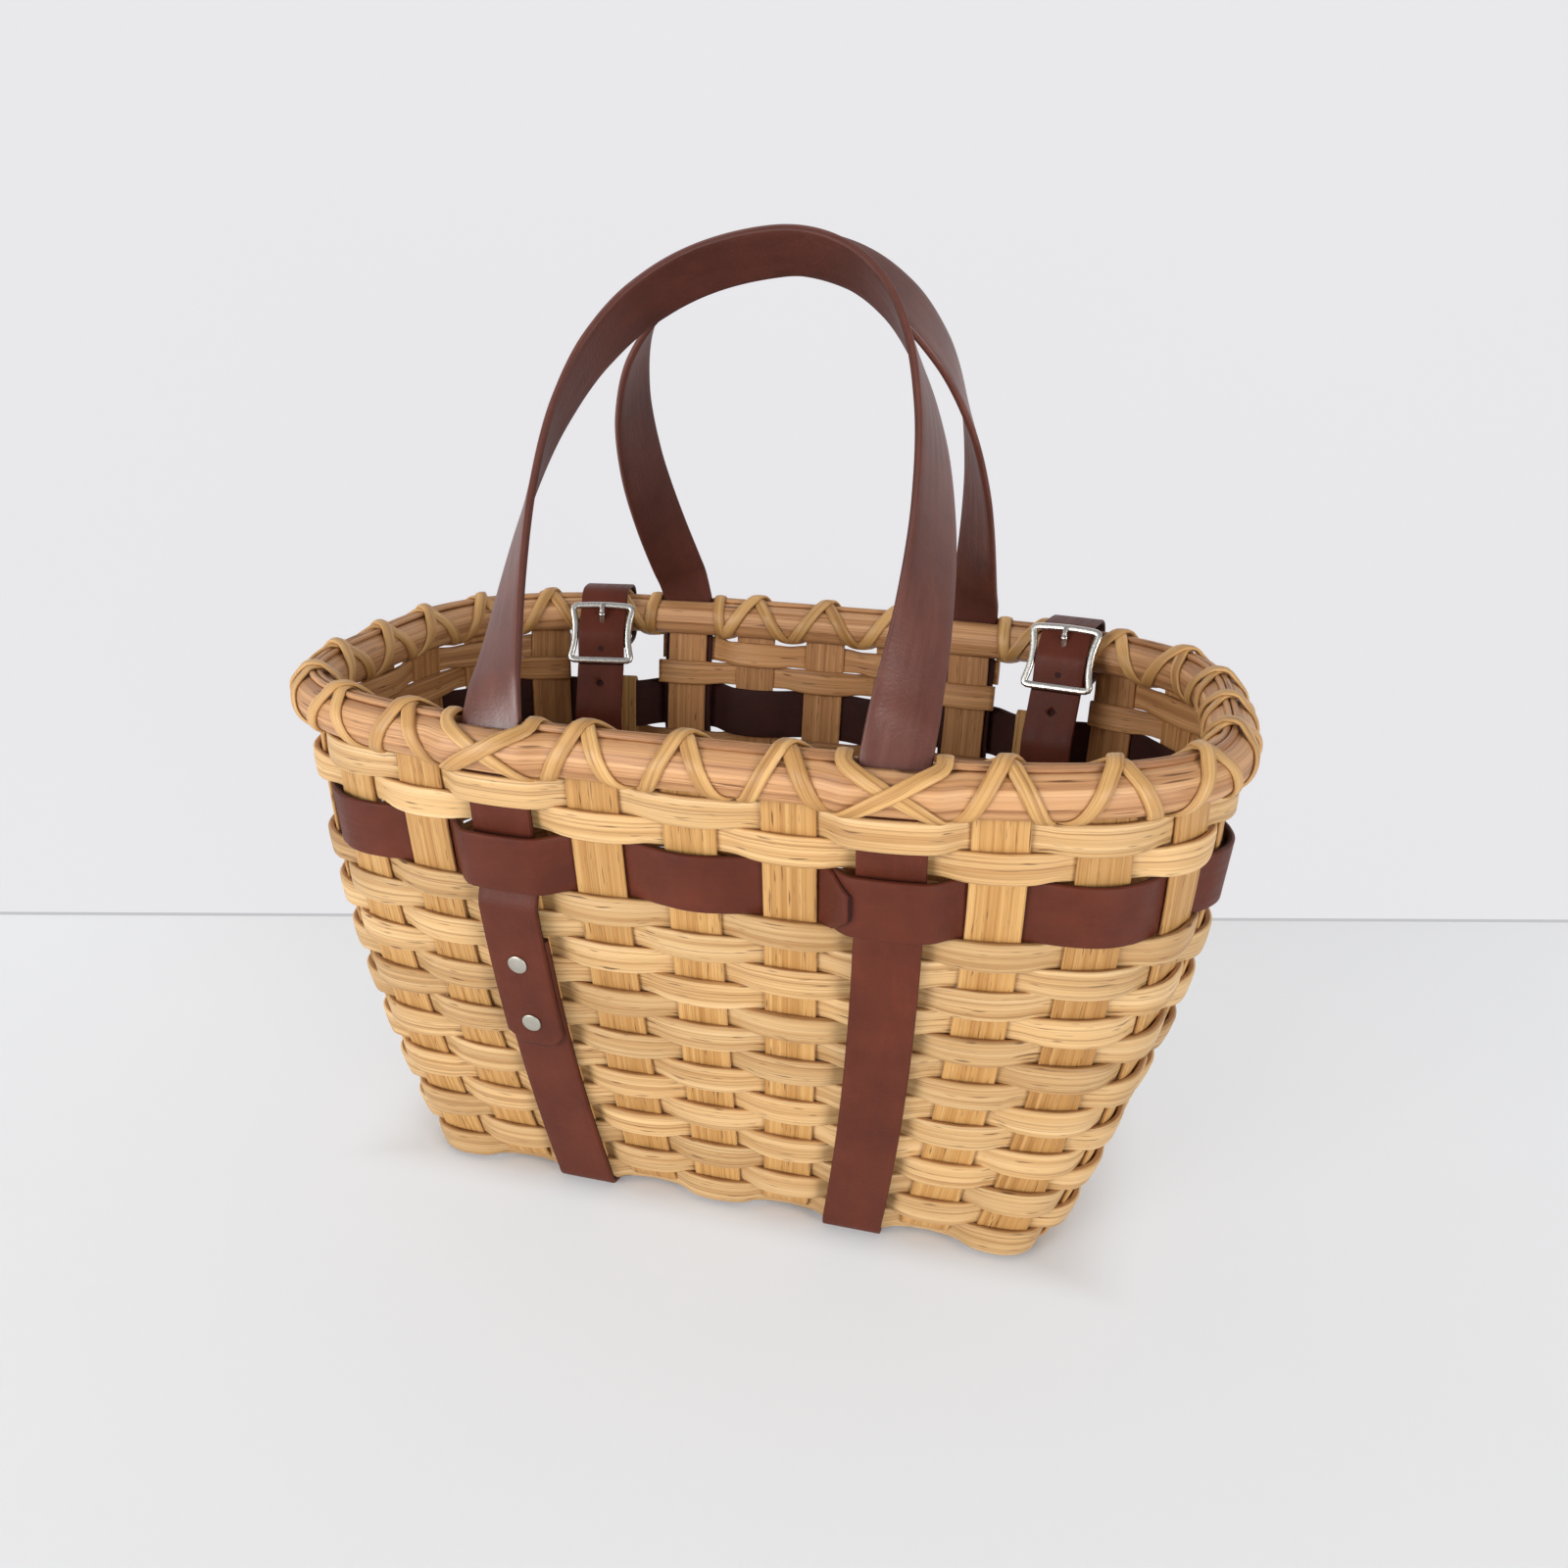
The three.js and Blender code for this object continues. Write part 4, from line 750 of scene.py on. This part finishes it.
def strap_rows(k, sense, heights, lift=0.0, clip=0.0):
    """Rows of points across a strap at these heights on the wall, its lower corners clipped."""
    rows = []
    for z in heights:
        dip = smooth_step((z - DIP_FROM) / (DIP_TO - DIP_FROM))
        off = ON_ROWS + lift + (ON_STAKE - ON_ROWS - lift) * dip
        share = 1 - 2 / STRAP_WIDTH * max(0.0, clip - (z - heights[0]))
        p, _, out = on_wall(z, k, sense * strap_wide * share)
        rows.append(p + out[len(out) // 2] * off)
    return rows


def strap_base(k, k_back):
    """Rows of points under the base, turned round both lower edges."""
    rows = []
    for side, stake in ((-1, k), (1, k_back)):
        wall = strap_rows(stake, -side, [EDGE_FROM])[0]
        corner = np.full(wall.shape, STRAP_THICK / 2)
        corner[:, 0] = feet[k, 0] + strap_wide
        corner[:, 1] = side * (FOOT_Y + ON_ROWS)
        turns = (0.15, 0.3, 0.45, 0.6, 0.75, 0.9, 1.0)
        bend = [curve([wall, corner, corner - side * EDGE_BEND * to_back], t) for t in turns]
        rows += bend[::-side]
    return rows


def strap_mesh(name, rows, tone):
    """A strap through rows of points that start on the front, its grain side outwards."""
    grid = np.array(rows)
    normals = unit(np.cross(np.gradient(grid, axis=1), np.gradient(grid, axis=0)))
    normals = normals * -np.sign(normals[0, len(leather_v) // 2, 1])
    piece = strip(f"leather_{name}", grid, normals, strap_thick, strap_thick, leather_and_painted_shade, tone)
    fitted(piece, "basket", "leather", name)


heights = [np.arange(10.0, 146.0, 6.0), np.arange(146.6, 160.0, 1.6), np.arange(162.0, 213.1, 4.0)]
heights = np.concatenate(heights)
under = heights[heights < UNDER_END]
front_right, back_right, back_left, front_left = STRAPPED
for name, k, k_back, front, tone in (("carry_strap_right", front_right, back_right, heights, 0.55),
                                     ("carry_strap_left", front_left, back_left, under, 0.62)):
    rows = strap_rows(k, 1, front)[::-1] + strap_base(k, k_back) + strap_rows(k_back, -1, heights)
    strap_mesh(name, rows, tone)
over = np.concatenate([LAP_END + np.arange(0, 8, 2), heights[heights > LAP_END + 8]])
rows = strap_rows(front_left, 1, over, lift=STRAP_THICK + CLEAR, clip=STRAP_CLIP)
strap_mesh("carry_strap_lap", rows, 0.7)

# Rivets: two nickel-plated cap rivets hold the lap of the left strap, set with a hand press.
# Each is a post through both layers and a low domed cap with a rolled edge.
RIVET_HEIGHTS = (("rivet_upper", 125.8), ("rivet_lower", 96.8))
RIVET_RADIUS, RIVET_DOME, RIVET_EDGE, POST_RADIUS = 4.1, 1.1, 0.55, 1.7


def dimmed(colour, share):
    return tuple(share * c for c in colour[:3]) + (1,)


def nickel_plate(name, colour, rough):
    """Nickel plate: soft brushed sheen with fine scratches and slightly dull patches."""
    material, tree, shader = new_material(name)
    feed(tree, shader, {"Metallic": 1})
    place = wired(tree, "TexCoord", output="Object")
    scratch = noise(tree, stretched(tree, place, 2600.0, 2600.0, 700.0), 3.0, 0.6)
    patch = noise(tree, stretched(tree, place, 140.0, 140.0, 140.0), 2.0)
    plate = ramp(tree, patch, (0.3, dimmed(linear(*colour), 0.86)), (0.7, linear(*colour)))
    finish(tree, shader, plate, scratch, (rough - 0.07, rough + 0.07), scratch, 0.03, 0.00003)
    return material


nickel = nickel_plate("nickel_plate", (226, 223, 216), 0.3)
worn_nickel = nickel_plate("worn_nickel_plate", (196, 192, 180), 0.42)


def turned(name, profile, origin, axis, side, material, sides=32):
    """A round piece turned from a profile of (radius, height) about an axis."""
    other = np.cross(axis, side)
    verts, faces = [], []
    count = len(profile)
    for i in range(sides):
        angle = 2 * math.pi * i / sides
        spoke = side * math.cos(angle) + other * math.sin(angle)
        verts += [tuple((origin + spoke * r + axis * h) / METRE) for r, h in profile]
    for i in range(sides):
        here, there = i * count, ((i + 1) % sides) * count
        faces += [(here + j, there + j, there + j + 1, here + j + 1) for j in range(count - 1)]
    faces.append(tuple(i * count + count - 1 for i in range(sides)))
    faces.append(tuple(i * count for i in range(sides))[::-1])
    mesh = bpy.data.meshes.new(name)
    mesh.from_pydata(verts, [], faces)
    mesh.polygons.foreach_set("use_smooth", [True] * len(faces))
    mesh.set_sharp_from_angle(angle=math.radians(50))
    return as_piece(mesh, [material])


face = ON_ROWS + STRAP_THICK + CLEAR + STRAP_THICK / 2
profile = [(POST_RADIUS, ON_ROWS - 0.2), (POST_RADIUS, face - 0.4),
           (RIVET_RADIUS - 0.25, face + 0.05), (RIVET_RADIUS, face + 0.25)]
for angle in np.linspace(0, 1.45, 9):
    rise = RIVET_EDGE + (RIVET_DOME - RIVET_EDGE) * math.sin(angle)
    profile.append((RIVET_RADIUS * math.cos(angle), face + rise))
for name, z in RIVET_HEIGHTS:
    p, up, out = on_wall(z, RIVETED, 0.0)
    fitted(turned(f"cap_{name}", profile, p, out, up, worn_nickel), "basket", "nickel", name)

# Handles: the upper ends of the same leather strips, drawn up into two arches.
# Each leg turns its face outwards as it rises, and the arches lean in and meet edge to edge.
# The leather has taken a set in use, so the arches sag a little to the sides.
HINGE_Y, HINGE_Z = 113.03, 229.31
FOOT = np.array([-75.56, -HINGE_Y, HINGE_Z])
HANDLE_RISE, HANDLE_TILT = 162.09, math.radians(38.7)
LEAN, SHOULDER = np.array([0, 37.2, 45.0]), np.array([-27.6, 126.3, 166.0])
CROWN_REACH, TURN, TURN_PACE = 10.3, 0.77, 0.604
FOOT_HEIGHTS, LEG_START, LEG_STEPS = (213.5, 216.5, 219.5, 222.5), 0.045, 26
# Where along the arch a sag is centred, how far it spreads, and how far it moves the arch aside and up.
SAGS = {
    "front_handle": (
        (0.24, 0.2, -4.0, 0.0), (0.34, 0.24, 0.0, -3.0), (0.52, 0.22, 5.5, 0.0), (0.74, 0.16, -3.0, 0.0),
    ),
    "rear_handle": ((0.24, 0.2, -2.5, 0.0), (0.52, 0.22, 3.0, 0.0), (0.74, 0.16, 1.5, 0.0)),
}


def smooth_line(points, steps):
    """A smooth line through the points, with that many steps between them."""
    before = np.concatenate([points[:1], points[:-1]])
    after = np.concatenate([points[1:], points[-1:]])
    last = np.concatenate([after[1:], after[-1:]])
    t = (np.arange(steps) / steps)[None, :, None]
    a, b, c, d = (x[:-1, None] for x in (before, points, after, last))
    line = b + 0.5 * t * (c - a + t * (2 * a - 5 * b + 4 * c - d + t * (3 * (b - c) + d - a)))
    return np.concatenate([line.reshape(-1, points.shape[1]), points[-1:]])


def arch_rows():
    """Rows of points across the front arch, from inside the rim over the crown and down again."""
    rows = []
    for z in FOOT_HEIGHTS:
        p, _, out = on_wall(z, RIVETED, strap_wide)
        rows.append(p + out[len(out) // 2] * ON_STAKE)
    crown_face = np.array([0, math.sin(HANDLE_TILT), math.cos(HANDLE_TILT)])
    reach = STRAP_WIDTH / 2 * crown_face[2] + STRAP_THICK / 2 * crown_face[1]
    crown = np.array([0, -reach - CLEAR, HINGE_Z + HANDLE_RISE])
    controls = np.array([FOOT, FOOT + LEAN, FOOT + SHOULDER, crown - CROWN_REACH * to_right, crown])
    for t in np.linspace(LEG_START, 1, LEG_STEPS):
        p, run = curve(controls, t), unit(curve(np.diff(controls, axis=0), t))
        face = curve([-to_back, -TURN * to_right, crown_face], t**TURN_PACE)
        face = unit(face - run * (face @ run))
        across = np.cross(run, face)
        need = STRAP_WIDTH / 2 * abs(across[1]) + STRAP_THICK / 2 * abs(face[1])
        p[1] = min(p[1], -need - CLEAR)
        rows.append(p + across * strap_wide[:, None])
    left = np.array(rows)
    return np.concatenate([left, (left[:-1] * [-1, 1, 1])[::-1]])


handle_finish = [
    leather("leather_handle", (104, 57, 45), (84, 44, 35), rough=(0.34, 0.48), grain=0.16, sheen=0.62),
    leather("leather_handle_inside", (92, 48, 38), (74, 38, 30),
            rough=(0.5, 0.66), grain=0.35, sheen=0.35),
]
for name, side in (("front_handle", 1), ("rear_handle", -1)):
    rows = arch_rows() * [1, side, 1]
    share = np.linspace(0, 1, len(rows))
    for place, spread, aside, rise in SAGS[name]:
        sag = np.cos(np.clip((share - place) / spread, -1, 1) * math.pi / 2) ** 2
        rows += sag[:, None, None] * [aside, 0, rise]
    for edge in (8, 11, 14, 17, 20):
        beside = rows[edge + 1:1 - edge] + rows[edge - 1:-edge - 1]
        rows[edge:-edge] = 0.5 * rows[edge:-edge] + 0.25 * beside
    fine = smooth_line(rows.reshape(len(rows), -1), 4).reshape(-1, len(leather_v), 3)
    normals = unit(np.cross(np.gradient(fine, axis=1), np.gradient(fine, axis=0)))
    normals = normals * np.sign(normals[len(fine) // 2, len(leather_v) // 2, 2])
    piece = strip(f"leather_{name}", fine, normals, strap_thick, strap_thick, handle_finish,
                  0.48 + 0.1 * side)
    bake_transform(piece)
    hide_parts(name)

# Rim straps: two short leather straps that wrap the rim at the back windows and a handlebar.
# One end is folded round the buckle's centre bar and sewn, the free end goes through the buckle.
RIM_STRAP_WIDTH, RIM_STRAP_THICK = 24.0, 2.0
LASH_ROOM, LASH_TOP, LOOP_GAP = 4.0, 12.7, 0.6
RIM_SIDE = seat + RIM_DEEP + LASH_ROOM
BUCKLE_STAND, BUCKLE_TILT = 5.6, math.radians(25)
BUCKLE_HALF, BUCKLE_BAR, BUCKLE_LIFT, BUCKLE_THICK = 15.5, 2.9, 4.0, 2.4
BAR_RADIUS, FOLD_LENGTH = 1.2, 6.0
TAIL_BEND, TAIL_FALL, TAIL_TIP = 24.0, 46.0, 7.0
HOLE_RADIUS, TAIL_HOLE_RADIUS, TAIL_HOLE_DROP = 1.5, 1.6, 17.0
# Each strap's stake, how far it lies along the rim from there, and how far its buckle hangs down.
SIDES = (("left", window_left, -6.0, 7.0), ("right", window_right, 14.0, 1.0))
half_thick = RIM_STRAP_THICK / 2
loop_out = RIM_SIDE + LOOP_GAP + half_thick
loop_top = LASH_TOP + LOOP_GAP + half_thick
loop_bottom = RIM_HIGH / 2 + LASH_ROOM + LOOP_GAP + half_thick
bar_seat = BAR_RADIUS + CLEAR + half_thick
over_fold = bar_seat + RIM_STRAP_THICK + CLEAR
bar_middle = BUCKLE_HALF - BUCKLE_BAR / 2
under_bar = BUCKLE_LIFT - BUCKLE_THICK / 2 - CLEAR - half_thick
free_end = BUCKLE_HALF + CLEAR
tail_pivot = free_end + CLEAR + half_thick
rim_strap_v, rim_strap_edge = rounded_section(7, LEATHER_ROUNDING)
rim_strap_section = rim_strap_v, half_thick * rim_strap_edge, half_thick * rim_strap_edge


def rim_strap_place(k, shift, drop):
    """Directions across a rim strap and off its buckle, and functions that place points by the rim or
    by the buckle."""
    p, _, out = on_wall(RIM_Z, k, 0.0)
    up, out = -DOWN, unit(out * [1, 1, 0])
    across = np.cross(up, out)
    middle = p - across * shift
    along = out * math.sin(BUCKLE_TILT) + up * math.cos(BUCKLE_TILT)
    off = up * math.sin(BUCKLE_TILT) - out * math.cos(BUCKLE_TILT)
    bar = middle - out * (RIM_SIDE + BUCKLE_STAND) - up * drop

    def by_rim(x, y):
        return middle - out * x + up * y

    def by_buckle(x, y, z=0.0):
        return bar + along * x + off * y + across * z

    return across, off, by_rim, by_buckle


def loop_points(by_rim, by_buckle, low):
    """The middle of the strap from its free end, through the buckle, round the rim and back to the
    fold. A low buckle hangs below the rim's top, and the strap rises behind it."""
    slant = bar_seat * math.sqrt(0.5)
    rise, under, back = [], [(0.9 * loop_out, -loop_bottom)], 0.6 * BUCKLE_HALF
    if low:
        rise = [(0.92 * loop_out, 0.55 * loop_top)]
        under = [(0.6 * loop_out, -loop_bottom), (1.02 * loop_out, -0.93 * loop_bottom)]
        back = 2
    through = [
        (-free_end, under_bar), (-bar_middle + BUCKLE_BAR / 2, under_bar), (-bar_seat, over_fold),
        (bar_seat, over_fold), (bar_middle - BUCKLE_BAR / 2, under_bar), (BUCKLE_HALF, under_bar),
    ]
    about = [
        *rise, (0.5 * loop_out, loop_top), (-0.6 * loop_out, loop_top - half_thick),
        (-loop_out, 0.5 * loop_top), (-loop_out, -0.5 * loop_bottom),
        (-0.6 * loop_out, -loop_bottom), *under,
    ]
    fold = [
        (-back, -bar_seat), (0, -bar_seat), (slant, -slant), (bar_seat, 0), (slant, slant),
        (0, bar_seat), (-FOLD_LENGTH, bar_seat),
    ]
    places = [by_buckle(*p) for p in through] + [by_rim(*p) for p in about] + [by_buckle(*p) for p in fold]
    return np.array(places)


def flat_strap(name, line, across, off, tone, share=1.0):
    """A leather strap along a line, its grain side towards off at the start."""
    normal = unit(np.cross(np.broadcast_to(across, line.shape), np.gradient(line, axis=0)))
    normal = normal * np.sign(normal[1] @ off)
    half = RIM_STRAP_WIDTH / 2 * share
    return ribbon(name, line, across, half, normal, rim_strap_section, leather_and_painted_shade, tone)


def punched(piece, spot, axis, side, radius, depth):
    """Punches a round hole in a strap."""
    cutter = turned("punch", [(radius, -depth), (radius, depth)], spot, axis, side, flesh_side_and_painted_shade, 20)
    cut = piece.modifiers.new("hole", "BOOLEAN")
    cut.operation = "DIFFERENCE"
    cut.object = cutter
    bpy.context.view_layer.objects.active = piece
    bpy.ops.object.modifier_apply(modifier=cut.name)
    bpy.data.objects.remove(cutter)


for side, k, shift, drop in SIDES:
    across, off, by_rim, by_buckle = rim_strap_place(k, shift, drop)
    line = smooth_line(loop_points(by_rim, by_buckle, drop > RIM_HIGH / 4), 4)
    loop = flat_strap(f"leather_rim_strap_{side}", line, across, off, 0.3)
    # The loop's hole is not cut: a thin disc of the darker flesh-side leather sits flush in its face,
    # painted shade for the hole.
    spot = by_buckle(-0.55 * bar_middle, under_bar + 1.5)
    hole = int(np.argmin(np.linalg.norm(line[:12] - spot, axis=1)))
    face = unit(np.cross(across, line[hole + 1] - line[hole - 1]))
    face = face * np.sign(face @ off)
    dish = turned(f"painted_shade_hole_{side}", [(HOLE_RADIUS, 0.0), (HOLE_RADIUS, 0.29), (1.1, 0.27)],
                  line[hole] + face * (half_thick - 0.25), face, across, flesh_side_and_painted_shade, 20)
    loop = together(f"leather_rim_strap_{side}", [loop, dish])
    fitted(loop, f"strap_{side}", "leather", f"rim_strap_{side}")
    pivot = by_buckle(-tail_pivot + 0.9, under_bar)
    bend = by_buckle(-tail_pivot - TAIL_BEND, under_bar)
    points = [pivot, pivot * 0.5 + bend * 0.5, bend * 0.9 + pivot * 0.1]
    points += [bend + DOWN * fall for fall in (6, 20, 33, 40, TAIL_FALL)]
    line = smooth_line(np.array(points), 4)
    to_tip = np.abs(line[:, 2] - line[-1, 2])
    tip = 1 - 0.5 * np.clip(1 - to_tip / TAIL_TIP, 0, 1) ** 2
    tail = flat_strap(f"leather_strap_tail_{side}", line, across, off, 0.36, tip)
    spot = by_buckle(-0.62 * bar_middle - TAIL_HOLE_DROP, under_bar + half_thick)
    punched(tail, spot, off, across, TAIL_HOLE_RADIUS, 1.4)
    fitted(tail, f"tail_{side}", "leather", f"strap_tail_{side}")

# Buckles: cast frames with flared corners and a waist, nickel plated, each on a centre bar.
# The tongue is a bent prong with an eye round the bar, and rests in the middle of the top bar.
FRAME_INNER, WAIST, TOP_BOW = RIM_STRAP_WIDTH / 2 + CLEAR, 2.4, 0.9
POST_SIDE, EYE_WALL, EYE_WIDE = 1.3, 0.5, 1.5
frame_middle = FRAME_INNER + BUCKLE_BAR / 2


def closed_bar(name, line, wide, deep, face, materials):
    """A closed bar of oval section along a closed line that lies in a plane."""
    run = unit(np.roll(line, -1, 0) - np.roll(line, 1, 0))
    v = np.cos(np.linspace(math.pi, 0, 9))
    lift = deep * np.sqrt(np.maximum(1 - np.abs(v) ** 4, 0))
    side = unit(np.cross(run, face))
    return ribbon(name, line, side, wide, face, (v, lift, lift), materials, closed=True)


for side, k, shift, drop in SIDES:
    across, off, _, by_buckle = rim_strap_place(k, shift, drop)
    outline = []
    there = np.linspace(-1, 1, 17)[:-1]
    outline += [(frame_middle + WAIST * t * t, t * bar_middle) for t in there]
    outline += [(-t * (frame_middle + WAIST), bar_middle + TOP_BOW * (1 - t * t)) for t in there]
    outline += [(-frame_middle - WAIST * t * t, -t * bar_middle) for t in there]
    outline += [(t * (frame_middle + WAIST), -bar_middle) for t in there]
    line = np.array([by_buckle(y, BUCKLE_LIFT, x) for x, y in outline])
    for _ in range(2):
        line = 0.5 * line + 0.25 * (np.roll(line, 1, 0) + np.roll(line, -1, 0))
    bars = [closed_bar("bar", line, BUCKLE_BAR / 2 + 0.25, BUCKLE_THICK / 2, off, [nickel])]
    reach = FRAME_INNER + BUCKLE_BAR * 0.6
    centre = np.array([by_buckle(0, 0, x) for x in np.linspace(-reach, reach, 9)])
    bars.append(tube("bar", centre, BAR_RADIUS, [nickel]))
    for hand in (-1, 1):
        rise = np.linspace(-BAR_RADIUS, BUCKLE_LIFT, 6)
        post = np.array([by_buckle(0, y, hand * frame_middle) for y in rise])
        bars.append(tube("bar", post, POST_SIDE, [nickel]))
    buckle = together(f"nickel_buckle_frame_{side}", bars)
    fitted(buckle, f"strap_{side}", "nickel", f"buckle_frame_{side}")
    radius = BAR_RADIUS + CLEAR + 0.6
    turn = np.linspace(0, 2 * math.pi, 25)[:-1]
    eye = np.array([by_buckle(radius * math.cos(a), radius * math.sin(a)) for a in turn])
    eye = closed_bar("eye", eye, EYE_WALL, EYE_WIDE, across, [nickel])
    on_bar = BUCKLE_LIFT + BUCKLE_THICK / 2 + CLEAR + 0.9
    prong = [
        (1.3, 1.4), (3.2, 2.4), (0.42 * bar_middle, 0.57 * on_bar), (0.62 * bar_middle, 0.8 * on_bar),
        (bar_middle - BUCKLE_BAR, on_bar), (BUCKLE_HALF + CLEAR, on_bar - 0.2),
    ]
    prong = smooth_line(np.array([by_buckle(*p) for p in prong]), 5)
    taper = np.interp(np.linspace(0, 1, len(prong)), [0, 0.7, 1], [1.2, 1.5, 0.8])
    tongue = together(f"nickel_buckle_tongue_{side}", [eye, tube("shank", prong, taper, [nickel])])
    fitted(tongue, f"tongue_{side}", "nickel", f"buckle_tongue_{side}")

# Stage: a pale matt table top against a pale wall, lit low and softly from the front.
# The camera sees both nearly evenly bright, with only a faint shadow by the basket.
# From behind and from below both are clear, so that the basket shows.
EYE_DISTANCE, YAW, ELEVATION, ROLL = 0.5539, 0.253, 0.359, 0.016
TARGET = np.array([0.00738, 0, 0.1715])
FRAME_PIXELS, FOCAL_PIXELS, SENSOR = 1600, 1260.7, 36.0
WALL_DISTANCE, WALL_TURN = 0.7257, 0.0243
STAGE_HALF, WALL_HEIGHT = 3.0, 2.4
WALL_FOOT, WALL_FOOT_GAP = 0.0021, 0.0005
ROOM_STRENGTH = 0.4
PALE = (233, 232, 235)


def matt(name, colour, seen, glow, shaded, lit):
    """Pale matt paint. The camera sees it partly as an even glow of the seen colour, growing
    from the shaded to the lit place, which are shares of the base's half length and width."""
    material, tree, shader = new_material(name)
    colour, seen = linear(*colour), linear(*seen)
    place = wired(tree, "TexCoord", output="Object")
    cloud = noise(tree, place, 3.0)
    tint = ramp(tree, cloud, (0.3, dimmed(colour, 0.97)), (0.7, colour))
    feed(tree, shader, {"Base Color": tint, "Roughness": 0.85})
    even = wired(tree, "Emission", [ramp(tree, cloud, (0.3, dimmed(seen, 0.985)), (0.7, seen))])
    path = tree.nodes.new("ShaderNodeLightPath").outputs
    ray = wired(tree, "Math", [path["Is Camera Ray"], path["Is Glossy Ray"]], operation="MAXIMUM")
    spot = stretched(tree, place, METRE / FOOT_X, METRE / FOOT_Y, 0)
    spot = wired(tree, "VectorMath", [spot], operation="ABSOLUTE")
    sides = [wired(tree, "SeparateXYZ", [spot], output=axis) for axis in "XY"]
    reach = wired(tree, "Math", sides, operation="MAXIMUM")
    share = wired(tree, "MapRange", [reach, shaded, lit, 0.0, glow], interpolation_type="SMOOTHSTEP")
    share = wired(tree, "Math", [ray, share], operation="MULTIPLY")
    front = wired(tree, "MixShader", [share, shader.outputs[0], even])
    behind = wired(tree, "NewGeometry", output="Backfacing")
    both = wired(tree, "MixShader", [behind, front, wired(tree, "BsdfTransparent")])
    feed(tree, tree.nodes["Material Output"], {"Surface": both})
    return material


def plane(name, start, stop, rise, material):
    """A flat sheet on the line from start to stop."""
    mesh = bpy.data.meshes.new(name)
    corners = [start, stop, stop + rise, start + rise]
    mesh.from_pydata([tuple(corner) for corner in corners], [], [(0, 1, 2, 3)])
    as_piece(mesh, [material])


towards = np.array([math.sin(YAW), -math.cos(YAW), 0]) * math.cos(ELEVATION) - DOWN * math.sin(ELEVATION)
eye = TARGET + EYE_DISTANCE * towards
level = unit(towards * [-1, -1, 0])
sideways = np.array([level[1], -level[0], 0])
along_wall = STAGE_HALF * (sideways * math.cos(WALL_TURN) + level * math.sin(WALL_TURN))
foot = eye * [1, 1, 0] + level * WALL_DISTANCE
near = foot - level * STAGE_HALF
paint = matt("pale_table", (232, 233, 235), (240, 240, 241), 0.68, 0.9, 1.3)
plane("table_top", near - along_wall, near + along_wall, level * STAGE_HALF, paint)
paint = matt("pale_wall", (234, 235, 237), PALE, 0.97, -1.0, -0.5)
plane("wall", foot - along_wall, foot + along_wall, -DOWN * WALL_HEIGHT, paint)
# A thin grey strip just in front of the foot of the wall glows evenly: a painted shadow line where the
# wall meets the table.
paint = matt("shaded_wall_foot", (200, 200, 202), (197, 197, 199), 0.97, -1.0, -0.5)
foot = foot - level * WALL_FOOT_GAP
plane("wall_foot", foot - along_wall, foot + along_wall, -DOWN * WALL_FOOT, paint)

scene = bpy.context.scene
scene.view_settings.view_transform = "Standard"
world = bpy.data.worlds.new("soft_room")
scene.world = world
world.use_nodes = True
room = world.node_tree
way = wired(room, "TexCoord", output="Generated")
frontness = [way, (-0.25, -0.85, -0.1)]
frontness = wired(room, "VectorMath", frontness, output="Value", operation="DOT_PRODUCT")
glow = ramp(room, frontness, (0.0, (0.5, 0.51, 0.54, 1)), (1.0, (1.0, 1.0, 1.0, 1)))
soft = room.nodes["Background"]
feed(room, soft, {"Color": glow, "Strength": ROOM_STRENGTH})
seen_directly = wired(room, "LightPath", output="Is Camera Ray")
far = wired(room, "Background", [linear(*PALE)])
sky = wired(room, "MixShader", [seen_directly, soft.outputs[0], far])
feed(room, room.nodes["World Output"], {"Surface": sky})


def aimed(name, data, place, back, roll=0.0):
    """A lamp or camera at that place, its back turned that way, and rolled by an angle."""
    holder = bpy.data.objects.new(name, data)
    bpy.context.collection.objects.link(holder)
    flat = unit(np.cross(-DOWN, back))
    steep = np.cross(back, flat)
    side = flat * math.cos(roll) + steep * math.sin(roll)
    upward = steep * math.cos(roll) - flat * math.sin(roll)
    holder.matrix_world = [(*side, 0), (*upward, 0), (*back, 0), (*place, 1)]
    return holder


for name, place, aim, size, power in (
    ("window_light", np.array([-1.35, -2.05, 0.7]), np.array([0, 0, 0.12]), 1.3, 47),
    ("room_light", np.array([1.85, -1.45, 0.5]), np.array([0, 0, 0.15]), 1.1, 33),
):
    lamp = bpy.data.lights.new(name, "AREA")
    lamp.shape = "SQUARE"
    lamp.size = size
    lamp.energy = power
    aimed(name, lamp, place, unit(place - aim))

camera = aimed("camera", bpy.data.cameras.new("camera"), eye, towards, ROLL)
camera.data.lens = SENSOR * FOCAL_PIXELS / FRAME_PIXELS
camera.data.sensor_width = SENSOR
camera.data.clip_start = 0.01
scene.camera = camera
